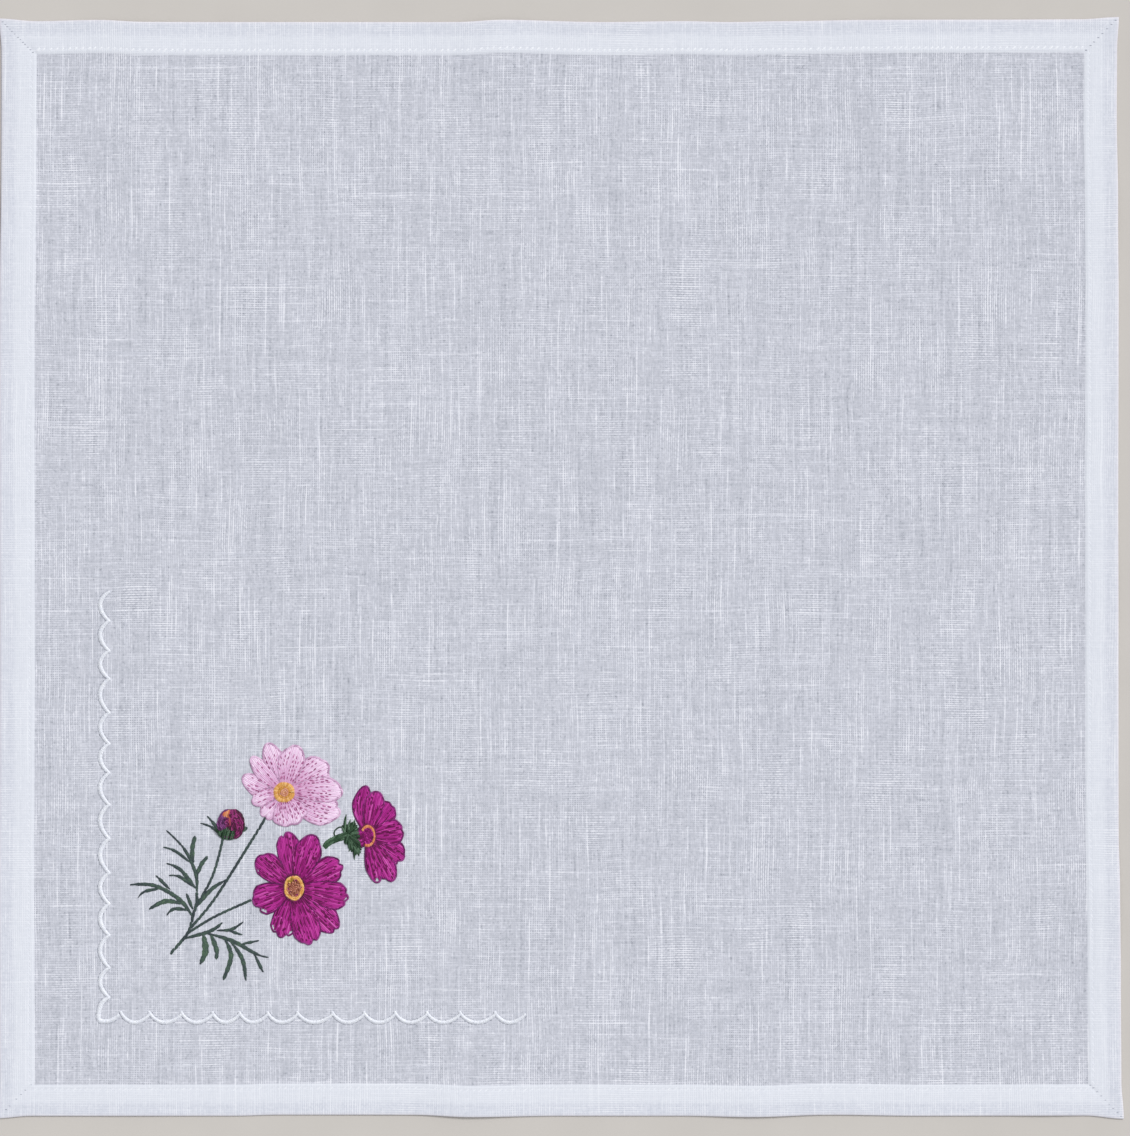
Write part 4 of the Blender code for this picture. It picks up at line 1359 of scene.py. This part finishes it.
def linen_material():
    """Sheer bleached linen: an uneven plain weave, whiter where the hem is folded double and treble.
    Its gaps are painted shade, and the rim of its fold a painted highlight.
    """
    shading = Shading("linen_weave")
    flat = shading.vector_math("MULTIPLY", shading.spot, (MM_PER_METRE, MM_PER_METRE, 0.0))
    drift = shading.node("ShaderNodeTexNoise", {"Vector": flat, "Scale": 0.03, "Detail": 2.0})
    wander = shading.vector_math("SUBTRACT", drift.outputs["Color"], (0.5, 0.5, 0.5))
    flat = shading.vector_math("ADD", flat, shading.vector_math("MULTIPLY", wander, (2.0, 2.0, 0.0)))
    parts = shading.node("ShaderNodeSeparateXYZ", {0: flat}).outputs
    x, y = Value(shading, parts["X"]), Value(shading, parts["Y"])
    warp_number, warp, warp_fullness = thread_run(shading, x, y, WARP_PITCH, 3.7)
    weft_number, weft, weft_fullness = thread_run(shading, y, x, WEFT_PITCH, 8.2)
    crossing = shading.math("COSINE", warp_number * math.pi) * shading.math("COSINE", weft_number * math.pi)
    lean = shading.noise(flat, (0.07, 0.045, 0.0))
    weave = shading.math(
        "MAXIMUM",
        warp * (crossing * 0.15 + 0.85) * (lean * 2.4 - 0.2),
        weft * (crossing * -0.15 + 0.85) * (lean * -2.4 + 2.2),
    )

    patches = shading.noise(flat, (0.10, 0.06, 0.0), 3.0, 0.6)
    broad = shading.noise(flat, (0.012, 0.012, 0.0))
    fibres = shading.noise(flat, (1.5, 1.5, 0.0), 3.0, 0.6)
    # Painted shade: threads lighter on their round tops and darker towards the gaps between them
    tone = (weave - 0.48) * 0.9 * ((patches - 0.3).above_zero() * 2.2)
    tone += run_light(warp, warp_fullness, WARP_WEIGHTS)
    tone += run_light(weft, weft_fullness, WEFT_WEIGHTS)
    tone += (fibres - 0.5) * 0.65 + (0.38 - fibres).above_zero() * -3.0
    tone += (patches - 0.5) * -0.1 + (broad - 0.5) * 0.02 + LINEN_TONE
    body = shading.mix(
        shading.attribute("hem"), shading.ramp(tone, LINEN_AND_GAP_SHADE_TONES), shading.ramp(tone, HEM_TONES),
    )
    body = shading.mix(shading.attribute("turn_in") * 0.45, body, colour(*TURN_IN_COLOUR))
    # Painted highlight on the rounded rim of the fold
    body = shading.mix(shading.attribute("fold") * 0.4, body, colour(*FOLD_HIGHLIGHT_COLOUR))
    relief = weave + warp_fullness[0] * 0.7 + weft_fullness[0] * 0.7
    return shading.surface(body, weave * -0.12 + 0.9, relief, sheen=0.1, sheen_roughness=0.6)


def thread_material(name, stops, roughness=0.55, sheen=0.06, twist=0.12):
    """Embroidery thread: tones from dark to light, fibres as streaks along it, its twist as ridges with
    painted shading.
    """
    shading = Shading(name)
    flat = shading.vector_math("MULTIPLY", shading.spot, (MM_PER_METRE,) * 3)
    fuzz = shading.noise(flat, (3.0, 3.0, 3.0), 3.0, 0.6)
    own, along, across = (shading.attribute(mark) for mark in ("tone", "along", "across"))
    run = shading.vector(across * 1.8, along * 0.45, own * 90.0)
    streaks = shading.noise(run, detail=3.0, roughness=0.6)
    ridges = (along * (FULL_TURN / THREAD_PLY) + across * 1.6).wave("SINE")
    # Painted shade: the colour follows the twist's ridges, lighter on their crests and darker between them
    tone = own + (fuzz - 0.5) * 0.3 + (streaks - 0.5) * 0.5 + (ridges - 0.5) * twist
    relief = fuzz + streaks + ridges * (6.0 * twist)
    body = shading.ramp(tone, stops)
    return shading.surface(body, fuzz * 0.2 + (roughness - 0.1), relief, sheen, sheen_roughness=0.5)


def floor_material():
    """A plain pale floor."""
    shading = Shading("pale_floor")
    grain = shading.noise(shading.spot, (40.0, 40.0, 40.0), 4.0)
    shading.fill(shading.inputs, {"Base Color": shading.ramp(grain, FLOOR_TONES), "Roughness": 0.8})
    return shading.material


# The stage

def add_floor():
    """The floor that the cloth lies on."""
    half = FLOOR_SIZE / 2
    corners = [(-half, -half, 0.0), (half, -half, 0.0), (half, half, 0.0), (-half, half, 0.0)]
    mesh_object("floor", floor_material(), corners, [(0, 1, 2, 3)], {})


def add_light():
    """Soft light from the upper right, and an even sky."""
    world = bpy.data.worlds.new("studio")
    world.use_nodes = True
    background = world.node_tree.nodes["Background"]
    background.inputs["Color"].default_value = SKY_COLOUR
    background.inputs["Strength"].default_value = SKY_STRENGTH
    bpy.context.scene.world = world
    lamp = bpy.data.lights.new("key", "SUN")
    lamp.energy = SUN_STRENGTH
    lamp.angle = math.radians(SUN_WIDTH_DEGREES)
    lamp.color = SUN_COLOUR
    add_object("key", lamp).rotation_euler = [math.radians(turn) for turn in SUN_TURN_DEGREES]


def add_camera():
    """The camera, straight above the cloth."""
    lens = bpy.data.cameras.new("camera")
    lens.sensor_width = SENSOR_SIZE
    lens.lens = SENSOR_SIZE * CAMERA_HEIGHT / FRAME_HEIGHT
    lens.clip_start, lens.clip_end = CAMERA_REACH_METRES
    camera = add_object("camera", lens)
    camera.location = (CAMERA_OFFSET * METRES_PER_MM, 0.0, (CAMERA_HEIGHT + FACE_LEVEL) * METRES_PER_MM)
    bpy.context.scene.camera = camera


def main():
    add_camera()
    add_light()
    add_floor()
    cloth = mesh_object("linen_cloth", linen_material(), *cloth_mesh())
    materials = {}
    for name, stops in THREAD_TONES.items():
        materials[name] = thread_material(name, stops, **THREAD_FINISH.get(name, {}))
    sewn = []
    for name, seed, material, build, *needs in PIECES:
        threads = Threads(seed)
        build(threads, threads.chance, *needs)
        sewn.append(threads.piece(name, materials[material]))
    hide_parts("linen_handkerchief")
    for piece in [cloth, *sewn]:
        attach(piece, "root")
    bpy.context.scene.view_settings.view_transform = "Standard"


main()
